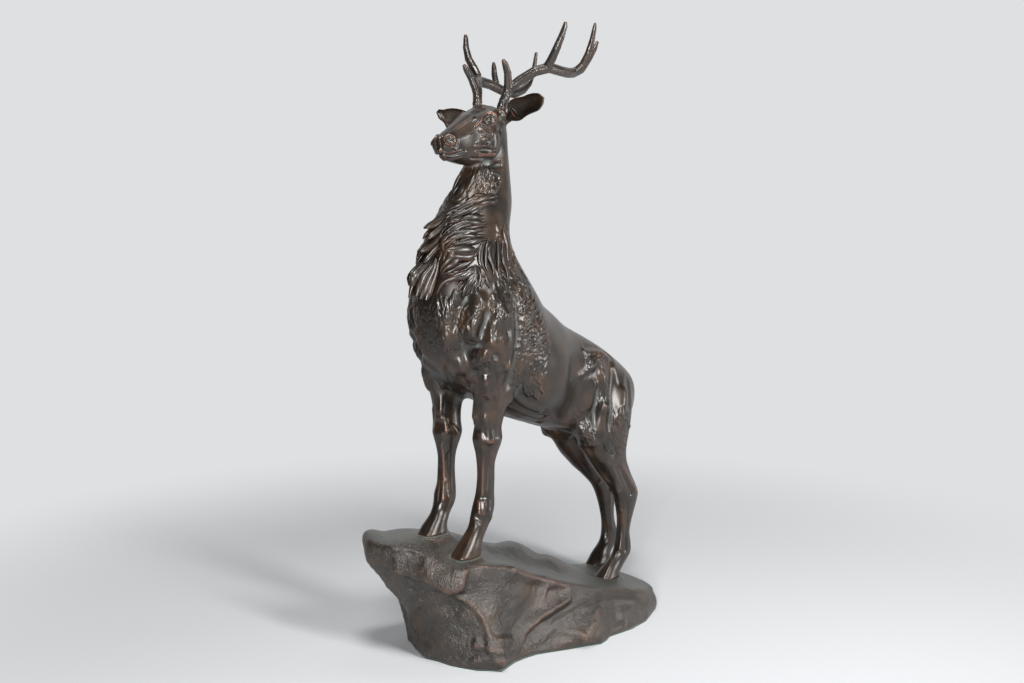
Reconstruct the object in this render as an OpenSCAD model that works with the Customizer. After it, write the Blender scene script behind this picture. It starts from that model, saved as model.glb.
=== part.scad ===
// Bronze stag on a rock.
// A hollow rock casting with a screwed cover carries a stag made of separate castings, which meet at
// flat joint faces with a spigot, a socket and a pin, as sectional bronzes are put together.
// X runs to the stag's left, -Y is where it faces and Z is up from the table.

/* [Stag] */
// Height of the stag, from its front right sole to its antler tips
stag_height = 620; // [500:1:760]
// Length of the stag, from its breast to its tail
stag_length = 410; // [340:1:500]
// Width of the stag across its shoulders
stag_width = 124; // [100:1:150]
// Fullness of the muscles, ribs and joints, 1 as modelled
muscle_relief = 1; // [0:0.1:1.6]

/* [Rock] */
// Height of the rock under the front right hoof
rock_height = 151; // [125:1:190]
// Length of the rock's foot
rock_length = 400; // [370:1:480]
// Width of the rock's foot
rock_width = 216; // [205:1:260]
// Thickness of the cast wall
rock_wall = 5; // [4:0.1:6.5]
// Depth of the broken facets on the rock's sides
rock_crags = 5; // [0:0.5:8]

/* [Underside] */
// Thickness of the felt
felt_thickness = 1.5; // [1:0.1:3]
// Thickness of the cover plate
cover_thickness = 3; // [2:0.1:4]
// Gap between the cover plate and the casting round it
cover_gap = 0.6; // [0.3:0.1:1]
// Core diameter of the cover screws
cover_screw_d = 4; // [3:0.1:5]
// Diameter of the posts that take the cover screws
cover_post_d = 12; // [10:0.5:14]

/* [Joints] */
// Diameter of the spigot under each front leg
front_spigot_d = 16; // [12:0.5:18]
// Diameter of the spigot on each hind leg
hind_spigot_d = 14; // [10:0.5:16]
// Length of the leg spigots
leg_spigot_length = 16; // [10:1:20]
// Diameter of the neck spigot
neck_spigot_d = 46; // [30:1:56]
// Length of the neck spigot
neck_spigot_length = 24; // [16:1:32]
// Diameter of the head spigot
head_spigot_d = 24; // [16:1:28]
// Length of the head spigot
head_spigot_length = 16; // [10:1:20]
// Diameter of the pegs on the antlers
antler_peg_d = 6; // [4:0.5:7]
// Length of the pegs on the antlers
antler_peg_length = 13; // [8:1:15]
// Diameter of the pegs on the ears
ear_peg_d = 4; // [3:0.5:5]
// Length of the pegs on the ears
ear_peg_length = 9; // [6:1:10]
// Diameter of the peg on the tail
tail_peg_d = 6; // [4:0.5:8]
// Length of the peg on the tail
tail_peg_length = 14; // [8:1:16]
// Diameter of the cross pins
pin_d = 4; // [3:0.5:5]
// Gap on the radius of every spigot, peg and pin
joint_gap = 0.1; // [0.05:0.05:0.3]

/* [Hoof studs] */
// Diameter of the stud in each hoof
stud_d = 8; // [6:0.5:9]
// Depth of the stud in the hoof
stud_depth = 16; // [10:1:20]
// Thickness of the boss under the rock's top that each stud passes through
boss_thickness = 8; // [6:0.5:10]
// Gap on the radius of the stud in the boss
stud_gap = 0.3; // [0.2:0.05:0.5]
// Thickness of the washers
washer_thickness = 1.6; // [1:0.1:2]
// Diameter of the washers
washer_d = 17; // [15:0.5:19]
// Thickness of the nuts
nut_thickness = 5; // [4:0.5:6]
// Width across the flats of the nuts
nut_flats = 13; // [11:0.5:14]

/* [Hidden] */

bronze = [0.23, 0.17, 0.14];
dark_bronze = [0.19, 0.16, 0.14];
steel = [0.62, 0.62, 0.60];
brass = [0.72, 0.58, 0.30];
felt_green = [0.10, 0.16, 0.12];

// The stag below is drawn at these sizes, with heights above the table, and scaled to the sizes above.
drawn_height = 620;
drawn_length = 410;
drawn_width = 124;
drawn_sole = 151;
scale_x = stag_width / drawn_width;
scale_y = stag_length / drawn_length;
scale_z = stag_height / drawn_height;

// --- Points, vectors and curves -------------------------------------------------------------------

// Heights up to the front right sole follow the rock, and those above it follow the stag.
function placed_height(z) =
    z < drawn_sole ? z * rock_height / drawn_sole : rock_height + (z - drawn_sole) * scale_z;
function placed(p) = [p.x * scale_x, p.y * scale_y, placed_height(p.z)];
function unit(v) = v / norm(v);
function lerp(a, b, t) = a + (b - a) * t;
function clamp01(t) = max(0, min(1, t));
function ease(t) = let (c = clamp01(t)) c * c * (3 - 2 * c);
function signed_pow(v, e) = sign(v) * pow(abs(v), e);
function total(list) = len(list) == 0 ? 0 : [for (v = list) 1] * list;
function at_end(rows, i) = rows[max(0, min(len(rows) - 1, i))];

// Catmull-Rom curve through rows of numbers, at row position u
function curve(rows, u) =
    let (i = floor(u), t = u - i,
         a = at_end(rows, i - 1), b = at_end(rows, i), c = at_end(rows, i + 1), d = at_end(rows, i + 2))
    0.5 * (2 * b + (c - a) * t + (2 * a - 5 * b + 4 * c - d) * t * t + (3 * b - a - 3 * c + d) * t * t * t);

// Row positions of a stretch of a curve, with a given number of steps between rows
function steps(first, last, per_row) = [for (k = [0 : (last - first) * per_row]) first + k / per_row];

// --- Lofts ----------------------------------------------------------------------------------------
// A body or limb is drawn as rows of oval sections: [x of the middle, y and z of the section's top or
// front point, y and z of its bottom or back point, half width, height of the widest place as a share
// of the section, squareness]. Angle 0 is the outer side and 90 is the top or front.

// Swellings and hollows: [row, angle, spread in rows, spread in degrees, height]
function swelling(lumps, u, angle, both_sides) =
    let (a = both_sides && cos(angle) < 0 ? 180 - angle : angle)
    muscle_relief * total([for (s = lumps)
        let (turn = (a - s[1] + 540) % 360 - 180)
        s[4] * exp(-pow((u - s[0]) / s[2], 2) - pow(turn / s[3], 2))]);

function section(row, u, sides, lumps, both_sides) =
    let (top = placed([row[0], row[1], row[2]]), bottom = placed([row[0], row[3], row[4]]),
         rise = top - bottom, middle = bottom + rise * row[6])
    [for (k = [0 : sides - 1])
        let (angle = 360 * k / sides, s = sin(angle), c = cos(angle),
             out = [row[5] * scale_x * signed_pow(c, 2 / row[7]), 0, 0]
                 + rise * (s >= 0 ? 1 - row[6] : row[6]) * signed_pow(s, 2 / row[7]))
        middle + out + unit(out) * swelling(lumps, u, angle, both_sides)];

function section_middle(row) =
    placed([row[0], lerp(row[3], row[1], row[6]), lerp(row[4], row[2], row[6])]);

function sections(rows, first, last, per_row, sides, lumps, both_sides) =
    [for (u = steps(first, last, per_row)) section(curve(rows, u), u, sides, lumps, both_sides)];

// Closed skin over rings of points, with a flat end on the first and the last ring
module skin(rings) {
    n = len(rings[0]);
    m = len(rings);
    middles = [total(rings[0]) / n, total(rings[m - 1]) / n];
    points = concat([for (ring = rings) each ring], middles);
    faces = concat(
        [for (i = [0 : m - 2], k = [0 : n - 1])
            let (j = (k + 1) % n, a = i * n + k, b = i * n + j)
            each [[a, a + n, b + n], [a, b + n, b]]],
        [for (k = [0 : n - 1]) [m * n, k, (k + 1) % n]],
        [for (k = [0 : n - 1]) [m * n + 1, (m - 1) * n + (k + 1) % n, (m - 1) * n + k]]);
    polyhedron(points, faces);
}

round_sides = 32;

// Cylinder from one point towards another direction
module rod(from, along, length, d) {
    dir = unit(along);
    tilt = acos(dir.z);
    turn = atan2(dir.y, dir.x);
    translate(from) rotate([0, tilt, turn]) cylinder(d = d, h = length, $fn = round_sides);
}

// --- The stag's side outline ----------------------------------------------------------------------
// From the rump, over the withers and up the neck to the muzzle.
spine = [
    [0, 214, 292, 208, 264, 12, 0.5, 2.0],
    [0, 207, 306, 194, 240, 29, 0.5, 2.0],
    [0, 190, 323, 164, 224, 41, 0.55, 2.1],
    [0, 160, 344, 128, 233, 47, 0.56, 2.1],
    [0, 124, 364, 86, 244, 50, 0.56, 2.1],
    [0, 88, 381, 44, 256, 51, 0.52, 2.1],
    [0, 52, 397, 4, 268, 56, 0.48, 2.1],
    [0, 24, 416, -36, 281, 61, 0.46, 2.1],
    [0, -4, 434, -70, 298, 62, 0.46, 2.1],
    [0, -22, 455, -104, 316, 63, 0.46, 2.2],
    [0, -38, 473, -142, 338, 64, 0.46, 2.3],
    [0, -49, 490, -170, 372, 63, 0.46, 2.2],
    [0, -58, 509, -184, 418, 56, 0.46, 2.2],
    [0, -55, 531, -182, 462, 46, 0.48, 2.1],
    [0, -45, 551, -168, 502, 39, 0.50, 2.1],
    [0, -44, 572, -147, 542, 32, 0.52, 2.1],
    [0, -46, 594, -124, 574, 26, 0.54, 2.1],
    [0, -49, 617, -110, 595, 23, 0.56, 2.1],
    [0, -53, 646, -107, 597, 23, 0.56, 2.2],
    [0, -64, 665, -110, 598, 25, 0.60, 2.3],
    [0, -84, 669, -122, 598, 26, 0.62, 2.3],
    [0, -106, 661, -134, 600, 22, 0.60, 2.3],
    [0, -128, 649, -144, 602, 16, 0.56, 2.2],
    [0, -144, 640, -152, 605, 13, 0.52, 2.2],
    [0, -156, 633, -158, 609, 13, 0.52, 2.3],
    [0, -164, 626, -162, 614, 9, 0.5, 2.2]];
neck_row = 12;
head_row = 17;
muzzle_row = len(spine) - 1;

// Muscles and bones of the trunk and head, the same on both sides
spine_lumps = [
    [9.6, 20, 1.5, 26, 5],
    [10.6, -6, 0.8, 20, 6],
    [8.6, -30, 0.7, 20, 3],
    [7.4, -12, 1.2, 40, 3.5],
    [5.2, 24, 1.1, 22, -3.5],
    [3.9, 32, 0.55, 15, 6],
    [4.9, -20, 0.8, 26, -5],
    [2.0, 34, 0.8, 20, 4],
    [18.6, -30, 0.8, 26, 3],
    [20.1, 34, 0.45, 16, 3],
    [20.9, 2, 0.5, 20, -1.5],
    [24.2, 12, 0.5, 26, 1.2]];

// Front leg from the shoulder to the sole, drawn for the left side
front_leg = [
    [34, -130, 440, -70, 440, 24, 0.5, 2.0],
    [42, -142, 410, -64, 404, 25, 0.5, 2.0],
    [44, -146, 380, -62, 372, 25, 0.5, 2.0],
    [42, -143, 352, -68, 346, 22, 0.5, 2.0],
    [38, -137, 326, -82, 322, 18.5, 0.5, 2.0],
    [35, -133, 302, -92, 299, 15.5, 0.5, 2.0],
    [32, -131, 286, -95, 284, 15, 0.5, 2.1],
    [31, -131, 272, -94, 271, 16.5, 0.5, 2.3],
    [30, -128, 256, -98, 255, 13, 0.5, 2.1],
    [29, -126, 240, -101, 240, 10, 0.5, 2.0],
    [29, -126, 222, -101, 222, 9.4, 0.5, 2.0],
    [28, -128, 203, -101, 203, 10, 0.5, 2.0],
    [28, -132, 189, -102, 188, 12, 0.5, 2.1],
    [27, -135, 177, -106, 173, 11.6, 0.5, 2.1],
    [27, -139, 166, -114, 160, 10.4, 0.5, 2.1],
    [26, -146, 156, -121, 150, 11.5, 0.5, 2.2],
    [26, -157, 144, -125, 141, 13.5, 0.48, 2.3],
    [25, -168, 131, -126, 131, 15, 0.46, 2.5]];
front_joint = 5;
front_sole = len(front_leg) - 1;
front_lumps = [
    [1.2, 40, 0.8, 50, 4],
    [2.9, 200, 0.7, 40, 3],
    [7.1, 90, 0.6, 34, 2.5],
    [7.4, 270, 0.5, 30, 2],
    [12.6, 270, 0.6, 30, 2.5],
    [17, 90, 2.2, 14, -3]];

// Hind leg from the hip to the sole, drawn for the left side
hind_leg = [
    [22, 118, 330, 180, 316, 22, 0.5, 2.0],
    [26, 94, 300, 184, 286, 27, 0.5, 2.1],
    [29, 77, 272, 181, 256, 28, 0.5, 2.1],
    [30, 71, 250, 177, 232, 25, 0.5, 2.1],
    [29, 81, 226, 175, 210, 20, 0.5, 2.0],
    [28, 101, 203, 178, 192, 16.5, 0.5, 2.0],
    [28, 124, 180, 190, 172, 13, 0.5, 2.0],
    [27, 143, 162, 203, 157, 11.5, 0.5, 2.1],
    [27, 158, 146, 209, 142, 11.5, 0.5, 2.2],
    [27, 165, 128, 204, 124, 10, 0.5, 2.1],
    [27, 168, 108, 197, 106, 8, 0.5, 2.0],
    [26, 168, 90, 193, 89, 7.8, 0.5, 2.0],
    [26, 166, 74, 195, 74, 9.6, 0.5, 2.0],
    [26, 161, 63, 194, 59, 10.4, 0.5, 2.1],
    [26, 151, 56, 184, 49, 9.6, 0.5, 2.1],
    [26, 141, 49, 174, 42, 10.5, 0.5, 2.2],
    [25, 132, 41, 168, 38, 12.5, 0.48, 2.3],
    [25, 122, 32, 166, 32, 14, 0.46, 2.5]];
hind_joint = 4;
hind_sole = len(hind_leg) - 1;
hind_lumps = [
    [1.6, 10, 1.1, 50, 3],
    [3.2, 90, 0.6, 36, 3],
    [2.4, 330, 0.8, 22, -2.5],
    [5.4, 300, 1.2, 40, 2],
    [8.2, 270, 0.6, 30, 2.5],
    [13, 270, 0.6, 30, 2.5],
    [17, 90, 2.2, 14, -3]];

// The right legs stand elsewhere: how far each sole is moved from the left one's mirror image, and how
// far the leg bows forward between its joint and its sole
front_right_step = [-3, -1, 20];
front_right_bow = 6;
hind_right_step = [0, 48, 0];
hind_right_bow = 0;

// A right leg's rows: mirrored, and drawn out towards its own sole below a given row
function stepped(rows, from_row, move, bend, bow) =
    let (last = len(rows) - 1, start = rows[from_row][2], finish = rows[last][2])
    [for (i = [0 : last])
        let (r = rows[i], t = clamp01((start - r[2]) / (start - finish)),
             rise = move.z * pow(t, bend), along = move.y * t - bow * sin(180 * t))
        [-r[0] + move.x * t, r[1] + along, r[2] + rise, r[3] + along, r[4] + rise, r[5], r[6], r[7]]];

front_right = stepped(front_leg, front_joint, front_right_step, 2, front_right_bow);
hind_right = stepped(hind_leg, 2, hind_right_step, 1, hind_right_bow);

// --- Antlers ----------------------------------------------------------------------------------------
// Each branch is a row of round sections [x, y, z, radius], drawn for the left side.
beam = [
    [19, -72, 664, 6.2], [21, -70, 674, 5.9], [25, -65, 688, 6.0], [34, -56, 698, 6.0],
    [46, -42, 709, 6.3], [56, -27, 714, 6.8], [56, -6, 711, 6.2], [52, 14, 710, 6.3],
    [47, 31, 711, 6.4], [47, 48, 716, 5.4], [48, 62, 729, 4.2], [49, 73, 742, 3.3], [49.5, 79, 752, 2.0]];
brow_tine = [
    [23, -67, 682, 4.8], [26, -68, 694, 5.0], [29, -72, 706, 4.7], [31, -79, 716, 3.9], [31, -83, 721, 2.2]];
tall_tine = [
    [54, -31, 713, 4.8], [62, -30, 723, 5.4], [70, -31, 735, 4.9], [76, -29, 749, 4.1], [79, -26, 761, 3.2],
    [79.5, -26, 766, 1.8]];
rear_tine = [
    [47, 34, 711, 5.0], [56, 40, 721, 4.8], [64, 40, 734, 4.2], [70, 40, 750, 3.5], [74, 39, 763, 2.8],
    [76, 38, 770, 1.6]];
// The right antler hangs lower than the left one's mirror image: the drop of each row of its beam, and
// the drop of its two front tines. Its rear tine is shorter and stands further forward.
right_beam_drop = [0, 0, 0, 1, 8, 12, 12, 18, 22, 22, 26, 22, 8];
right_brow_drop = 3;
right_tall_drop = 5;
right_rear_tine = [
    [54, 7, 694, 4.0], [58, 7, 704, 4.2], [61, 8, 713, 3.9], [62.5, 9, 722, 3.2], [63.5, 9.5, 728, 1.8]];

// Tail, from its root to its tip. The first point of each section is on its underside.
tail_rows = [
    [0, 214, 290, 216, 304, 7, 0.5, 2.0],
    [0, 221, 286, 229, 301, 8, 0.5, 2.0],
    [0, 227, 278, 239, 292, 8, 0.5, 2.0],
    [0, 229, 270, 242, 279, 6, 0.5, 2.0],
    [0, 231, 264, 239, 268, 3, 0.5, 2.0]];

// Where the ears sit on the head and how far out they reach
ear_root = [26, -65, 654];
left_ear_tip = [89, -75, 676];
right_ear_tip = [76, -85, 655];
ear_half_width = 12.5;
ear_cup = 9;
ear_edge = 1.6;
// Where an ear is widest along its length and which way its back faces
ear_fullness = 1.2;
ear_back = [0.12, 1, 0.1];
ear_rows = 11;
ear_columns = 10;
// Least width of an ear, as a share, at its tip and at its root
ear_tip_share = 0.05;
ear_root_share = 0.35;
// Share of the cup's depth that stays at the ear's ends, and how far up the ear its root runs
cup_share = 0.25;
ear_root_run = 0.2;

// --- The rock's outlines --------------------------------------------------------------------------
// Plan of the rock's top rim, from the stag's left side round by its tail, and the plan of its foot
rock_rim = [
    [84, 10], [86, 60], [96, 108], [98, 148], [88, 180], [52, 197], [10, 206], [-28, 190],
    [-52, 140], [-62, 85], [-72, 25], [-80, -40], [-88, -100], [-104, -150], [-105, -192],
    [-78, -216], [-36, -212], [2, -194], [42, -177], [56, -140], [61, -98], [66, -58], [76, -20]];
rock_foot = [
    [121, 4], [114, 32], [120, 74], [117, 110], [98, 160], [62, 192], [10, 206], [-38, 192],
    [-66, 146], [-80, 90], [-88, 28], [-92, -38], [-92, -92], [-86, -124], [-77, -147],
    [-50, -160], [-18, -174], [22, -172], [58, -164], [82, -147], [76, -114], [80, -78], [98, -42]];
drawn_rock_length = 400;
drawn_rock_width = 216;
rock_scale = [rock_width / drawn_rock_width, rock_length / drawn_rock_length];
// Height of the rock's top along its middle, [y, height], and how much it leans to the stag's left
rock_ridge = [
    [-225, 134], [-190, 140], [-143, 141], [-110, 133], [-60, 111], [0, 88], [60, 66],
    [110, 46], [145, 35.3], [185, 28.7], [230, 21]];
front_lean = 18;
rear_lean = 6;
lean_span = 38;
// Beyond this line the top falls away again to the stag's right, by this much each millimetre
shoulder_from = -25;
shoulder_fall = 0.2;

// --- Joint faces ------------------------------------------------------------------------------------
// A joint face is [its middle, the direction out of the piece that holds the socket].
function face_of(row) =
    let (rise = placed([0, row[1], row[2]]) - placed([0, row[3], row[4]]))
    [section_middle(row), unit(cross([1, 0, 0], rise))];

neck_face = face_of(spine[neck_row]);
head_face = face_of(spine[head_row]);
tail_face = face_of(tail_rows[0]);
legs = [
    ["front_left", front_leg, front_joint, front_sole, front_spigot_d, front_lumps, 1],
    ["front_right", front_right, front_joint, front_sole, front_spigot_d, front_lumps, -1],
    ["hind_left", hind_leg, hind_joint, hind_sole, hind_spigot_d, hind_lumps, 1],
    ["hind_right", hind_right, hind_joint, hind_sole, hind_spigot_d, hind_lumps, -1]];
function leg_face(leg) = face_of(leg[1][leg[2]]);

antler_from = placed([beam[0][0], beam[0][1], beam[0][2]]);
antler_face = [antler_from, unit(placed([beam[1][0], beam[1][1], beam[1][2]]) - antler_from)];
function ear_face(tip) = [placed(ear_root), unit(placed(tip) - placed(ear_root))];
function lowered(rows, drops) =
    [for (i = [0 : len(rows) - 1]) [rows[i][0], rows[i][1], rows[i][2] - drops[i], rows[i][3]]];
function lowered_all(rows, drop) = lowered(rows, [for (r = rows) drop]);
left_branches = [beam, brow_tine, tall_tine, rear_tine];
right_branches = [lowered(beam, right_beam_drop), lowered_all(brow_tine, right_brow_drop),
                  lowered_all(tall_tine, right_tall_drop), right_rear_tine];
// Each side's mirror, antler branches and ear tip, the left side first
sides = [[0, left_branches, left_ear_tip], [1, right_branches, right_ear_tip]];

// How far a spigot or a socket runs past its own joint face
spigot_root = 4;
socket_over = 1;
// Room left at the bottom of a socket
socket_end = 1;

module spigot(face, d, length) {
    rod(face[0] + face[1] * spigot_root, -face[1], length + spigot_root, d);
}

module socket(face, d, length) {
    rod(face[0] + face[1] * socket_over, -face[1], length + socket_over + socket_end, d + 2 * joint_gap);
}

// Cross pins: [where the pin starts, its direction, its length]
pin_hold = 4;
pin_cover = 1;
pin_mouth = 12;
function cross_pin(face, spigot_d, spigot_length, half_width, side, through) =
    let (middle = face[0] - face[1] * spigot_length / 2,
         inner = through ? -(spigot_d / 2 + pin_hold) : spigot_d / 2 - pin_hold * 1.5,
         outer = half_width * scale_x - pin_cover)
    [middle + [side * inner, 0, 0], [side, 0, 0], outer - inner];
function leg_pin(leg) =
    cross_pin(leg_face(leg), leg[4], leg_spigot_length, leg[1][leg[2]][5], leg[6], true);
neck_pin_set = [for (side = [-1, 1])
    cross_pin(neck_face, neck_spigot_d, neck_spigot_length, spine[neck_row][5], side, false)];
head_pin_set = [for (side = [-1, 1])
    cross_pin(head_face, head_spigot_d, head_spigot_length, spine[head_row][5], side, false)];

module pin(p) {
    rod(p[0], p[1], p[2], pin_d);
}

module pin_bore(p) {
    rod(p[0] - p[1] * socket_end, p[1], p[2] + socket_end + pin_mouth, pin_d + 2 * joint_gap);
}

// --- Soles, studs and their seats -------------------------------------------------------------------
sole_share = 0.4;
// How far the bosses in the rock stand out round the soles, and the room over them and round the studs
boss_margin = 2;
seat_gap = 4 * joint_gap;
seat_room = 30;
washer_room = 3;
// Wall of the well that each nut sits in, under its boss
well_wall = 2.6;
washer_hole_gap = 0.6;
nut_hole_gap = 0.1;
function sole_middle(leg) = section_middle(leg[1][leg[3]]);
function stud_axis(leg) =
    let (row = leg[1][leg[3]]) placed([row[0], lerp(row[3], row[1], sole_share), row[2]]);
function sole_outline(leg) =
    let (row = leg[1][leg[3]]) [for (p = section(row, leg[3], limb_sides, leg[5], false)) [p.x, p.y]];
function grown(outline, by) =
    let (middle = total(outline) / len(outline))
    [for (p = outline) middle + (p - middle) * (1 + by / norm(p - middle))];
stud_end = 2;
stud_run = boss_thickness + washer_thickness + nut_thickness + stud_end;

// --- Castings of the stag ---------------------------------------------------------------------------
body_sides = 28;
limb_sides = 16;
antler_sides = 10;
body_steps = 2;
neck_steps = 3;
head_steps = 3;
limb_steps = 2;
pedicle_d = 14;
pedicle_length = 16;
ear_boss_d = 10;
ear_boss_length = 12;
tail_boss_d = 14;
tail_boss_length = 16;

module torso() {
    color(bronze) difference() {
        union() {
            skin(sections(spine, 0, neck_row, body_steps, body_sides, spine_lumps, true));
            for (leg = legs) skin(sections(leg[1], 0, leg[2], limb_steps, limb_sides, leg[5], false));
            rod(tail_face[0], -tail_face[1], tail_boss_length, tail_boss_d);
        }
        socket(neck_face, neck_spigot_d, neck_spigot_length);
        socket(tail_face, tail_peg_d, tail_peg_length);
        for (leg = legs) {
            socket(leg_face(leg), leg[4], leg_spigot_length);
            pin_bore(leg_pin(leg));
        }
        for (p = neck_pin_set) pin_bore(p);
    }
}

module neck() {
    color(bronze) difference() {
        union() {
            skin(sections(spine, neck_row, head_row, neck_steps, body_sides, spine_lumps, true));
            spigot(neck_face, neck_spigot_d, neck_spigot_length);
        }
        socket(head_face, head_spigot_d, head_spigot_length);
        for (p = neck_pin_set) pin_bore(p);
        for (p = head_pin_set) pin_bore(p);
    }
}

module head() {
    color(bronze) difference() {
        union() {
            skin(sections(spine, head_row, muzzle_row, head_steps, body_sides, spine_lumps, true));
            spigot(head_face, head_spigot_d, head_spigot_length);
            for (side = sides) mirror([side[0], 0, 0]) {
                rod(antler_face[0], -antler_face[1], pedicle_length, pedicle_d);
                rod(ear_face(side[2])[0], -ear_face(side[2])[1], ear_boss_length, ear_boss_d);
            }
        }
        for (side = sides) mirror([side[0], 0, 0]) {
            socket(antler_face, antler_peg_d, antler_peg_length);
            socket(ear_face(side[2]), ear_peg_d, ear_peg_length);
        }
        for (p = head_pin_set) pin_bore(p);
    }
}

module leg_casting(leg) {
    color(bronze) difference() {
        union() {
            skin(sections(leg[1], leg[2], leg[3], limb_steps, limb_sides, leg[5], false));
            spigot(leg_face(leg), leg[4], leg_spigot_length);
        }
        pin_bore(leg_pin(leg));
        rod(stud_axis(leg) - [0, 0, socket_over], [0, 0, 1], stud_depth + socket_over + socket_end,
            stud_d + 2 * joint_gap);
    }
}

module tail() {
    color(bronze) {
        skin(sections(tail_rows, 0, len(tail_rows) - 1, limb_steps, limb_sides, [], false));
        spigot(tail_face, tail_peg_d, tail_peg_length);
    }
}

// Rings of a round branch that keep clear of twisting by taking their side from one skew direction
skew = [1, -0.6, -0.3];
function branch_rings(rows, sides, per_row) =
    let (us = steps(0, len(rows) - 1, per_row),
         at = [for (u = us) curve(rows, u)],
         mid = [for (r = at) placed([r[0], r[1], r[2]])], last = len(us) - 1)
    [for (i = [0 : last])
        let (along = unit(mid[min(last, i + 1)] - mid[max(0, i - 1)]),
             side = unit(cross(along, skew)), up = cross(along, side))
        [for (k = [0 : sides - 1])
            let (a = 360 * k / sides) mid[i] + (side * cos(a) + up * sin(a)) * at[i][3]]];

module antler(side) {
    color(dark_bronze) mirror([side[0], 0, 0]) {
        for (branch = side[1]) skin(branch_rings(branch, antler_sides, 1));
        spigot(antler_face, antler_peg_d, antler_peg_length);
    }
}

// A cupped leaf: rows of crescents between a round back and a hollow front
module ear(side) {
    face = ear_face(side[2]);
    rows = ear_rows;
    columns = ear_columns;
    length = norm(placed(side[2]) - face[0]);
    out = face[1];
    back = unit(ear_back - out * (out * ear_back));
    across = cross(out, back);
    function leaf(t) = pow(max(0, sin(180 * pow(t, ear_fullness))), 0.5) + ear_tip_share;
    function leaf_point(t, v, inner) =
        let (w = ear_half_width * max(ear_root_share * (1 - t), leaf(t)),
             cup = ear_cup * lerp(cup_share, 1, leaf(t)),
             s = inner ? 1 - 0.5 * ear_edge / w : 1, c = inner ? cup - ear_edge : cup)
        face[0] + out * length * t + across * w * s * sin(90 * v) + back * c * cos(90 * v)
            - back * ear_cup * 0.5;
    outer = [for (i = [0 : rows]) [for (j = [0 : columns]) leaf_point(i / rows, 2 * j / columns - 1, false)]];
    inner = [for (i = [0 : rows]) [for (j = [0 : columns]) leaf_point(i / rows, 2 * j / columns - 1, true)]];
    color(bronze) mirror([side[0], 0, 0]) {
        sheet(outer, inner);
        rod(face[0], out, length * ear_root_run, ear_boss_d - 1);
        spigot(face, ear_peg_d, ear_peg_length);
    }
}

// Closed solid between two grids of points
module sheet(outer, inner) {
    m = len(outer) - 1;
    n = len(outer[0]) - 1;
    grid = (m + 1) * (n + 1);
    function at(i, j, side) = side * grid + i * (n + 1) + j;
    rim = concat([for (j = [0 : n]) [0, j]], [for (i = [1 : m]) [i, n]],
                 [for (j = [n - 1 : -1 : 0]) [m, j]], [for (i = [m - 1 : -1 : 1]) [i, 0]]);
    polyhedron(
        concat([for (row = outer) each row], [for (row = inner) each row]),
        concat(
            [for (i = [0 : m - 1], j = [0 : n - 1])
                each [[at(i, j, 0), at(i + 1, j + 1, 0), at(i, j + 1, 0)],
                      [at(i, j, 0), at(i + 1, j, 0), at(i + 1, j + 1, 0)],
                      [at(i, j, 1), at(i, j + 1, 1), at(i + 1, j + 1, 1)],
                      [at(i, j, 1), at(i + 1, j + 1, 1), at(i + 1, j, 1)]]],
            [for (k = [0 : len(rim) - 1])
                let (a = rim[k], b = rim[(k + 1) % len(rim)])
                each [[at(a[0], a[1], 0), at(b[0], b[1], 0), at(b[0], b[1], 1)],
                      [at(a[0], a[1], 0), at(b[0], b[1], 1), at(a[0], a[1], 1)]]]));
}

// --- The rock ---------------------------------------------------------------------------------------
function rock_scaled(p) = [p.x * rock_scale.x, p.y * rock_scale.y];
function ridge_height(y) =
    let (past = [for (i = [0 : len(rock_ridge) - 1]) if (rock_ridge[i][0] * rock_scale.y <= y) i],
         i = min(len(rock_ridge) - 2, max(0, len(past) - 1)),
         a = rock_ridge[i], b = rock_ridge[i + 1])
    lerp(a[1], b[1], (y / rock_scale.y - a[0]) / (b[0] - a[0]));
function lean(x, y) =
    lerp(front_lean, rear_lean, ease((y / rock_scale.y - 40) / 90)) * x / norm([x, lean_span])
    + shoulder_fall * max(0, shoulder_from - x);
function rock_top(x, y) = placed_height(ridge_height(y) - lean(x, y));

foot_z = felt_thickness;
side_levels = 7;
top_rings = [0.92, 0.78, 0.62, 0.46, 0.30, 0.14];
rock_columns = 2;

// Rough breaks in the rock, from a fixed run of chance numbers
breaks = rands(-1, 1, 4000, 7);
function rough(i, j) = breaks[(i * 131 + j * 17) % 4000];

function ring_curve(points, u) =
    let (n = len(points), i = floor(u), t = u - i)
    lerp(points[i % n], points[(i + 1) % n], t);

rock_rows = concat(
    [for (level = [0 : side_levels])
        let (t = level / side_levels, out = ease((t - 0.15) / 0.85))
        [for (u = steps(0, len(rock_rim) - 1 / rock_columns, rock_columns))
            let (foot = rock_scaled(ring_curve(rock_foot, u)), rim = rock_scaled(ring_curve(rock_rim, u)),
                 p = lerp(foot, rim, out), away = unit(p),
                 thick = rock_top(rim.x, rim.y) - foot_z,
                 bump = rough(u * rock_columns, level) * rock_crags * min(1, thick / 70)
                     * (level == 0 ? 0.3 : level == side_levels ? 0.4 : 1),
                 q = p + away * bump)
            [q.x, q.y, lerp(foot_z, rock_top(rim.x, rim.y), t)]]],
    [for (r = top_rings)
        [for (u = steps(0, len(rock_rim) - 1 / rock_columns, rock_columns))
            let (q = rock_scaled(ring_curve(rock_rim, u)) * r) [q.x, q.y, rock_top(q.x, q.y)]]]);
rock_count = len(rock_rows[0]);

function rock_normal(i, j) =
    let (n = rock_count, last = len(rock_rows) - 1,
         up = rock_rows[min(last, i + 1)][j] - rock_rows[max(0, i - 1)][j],
         round = rock_rows[i][(j + 1) % n] - rock_rows[i][(j + n - 1) % n],
         out = cross(round, up))
    i == 0 ? unit([out.x, out.y, 0]) : unit(out);
inner_rows = [for (i = [0 : len(rock_rows) - 1])
    [for (j = [0 : rock_count - 1]) rock_rows[i][j] - rock_normal(i, j) * rock_wall]];

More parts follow.
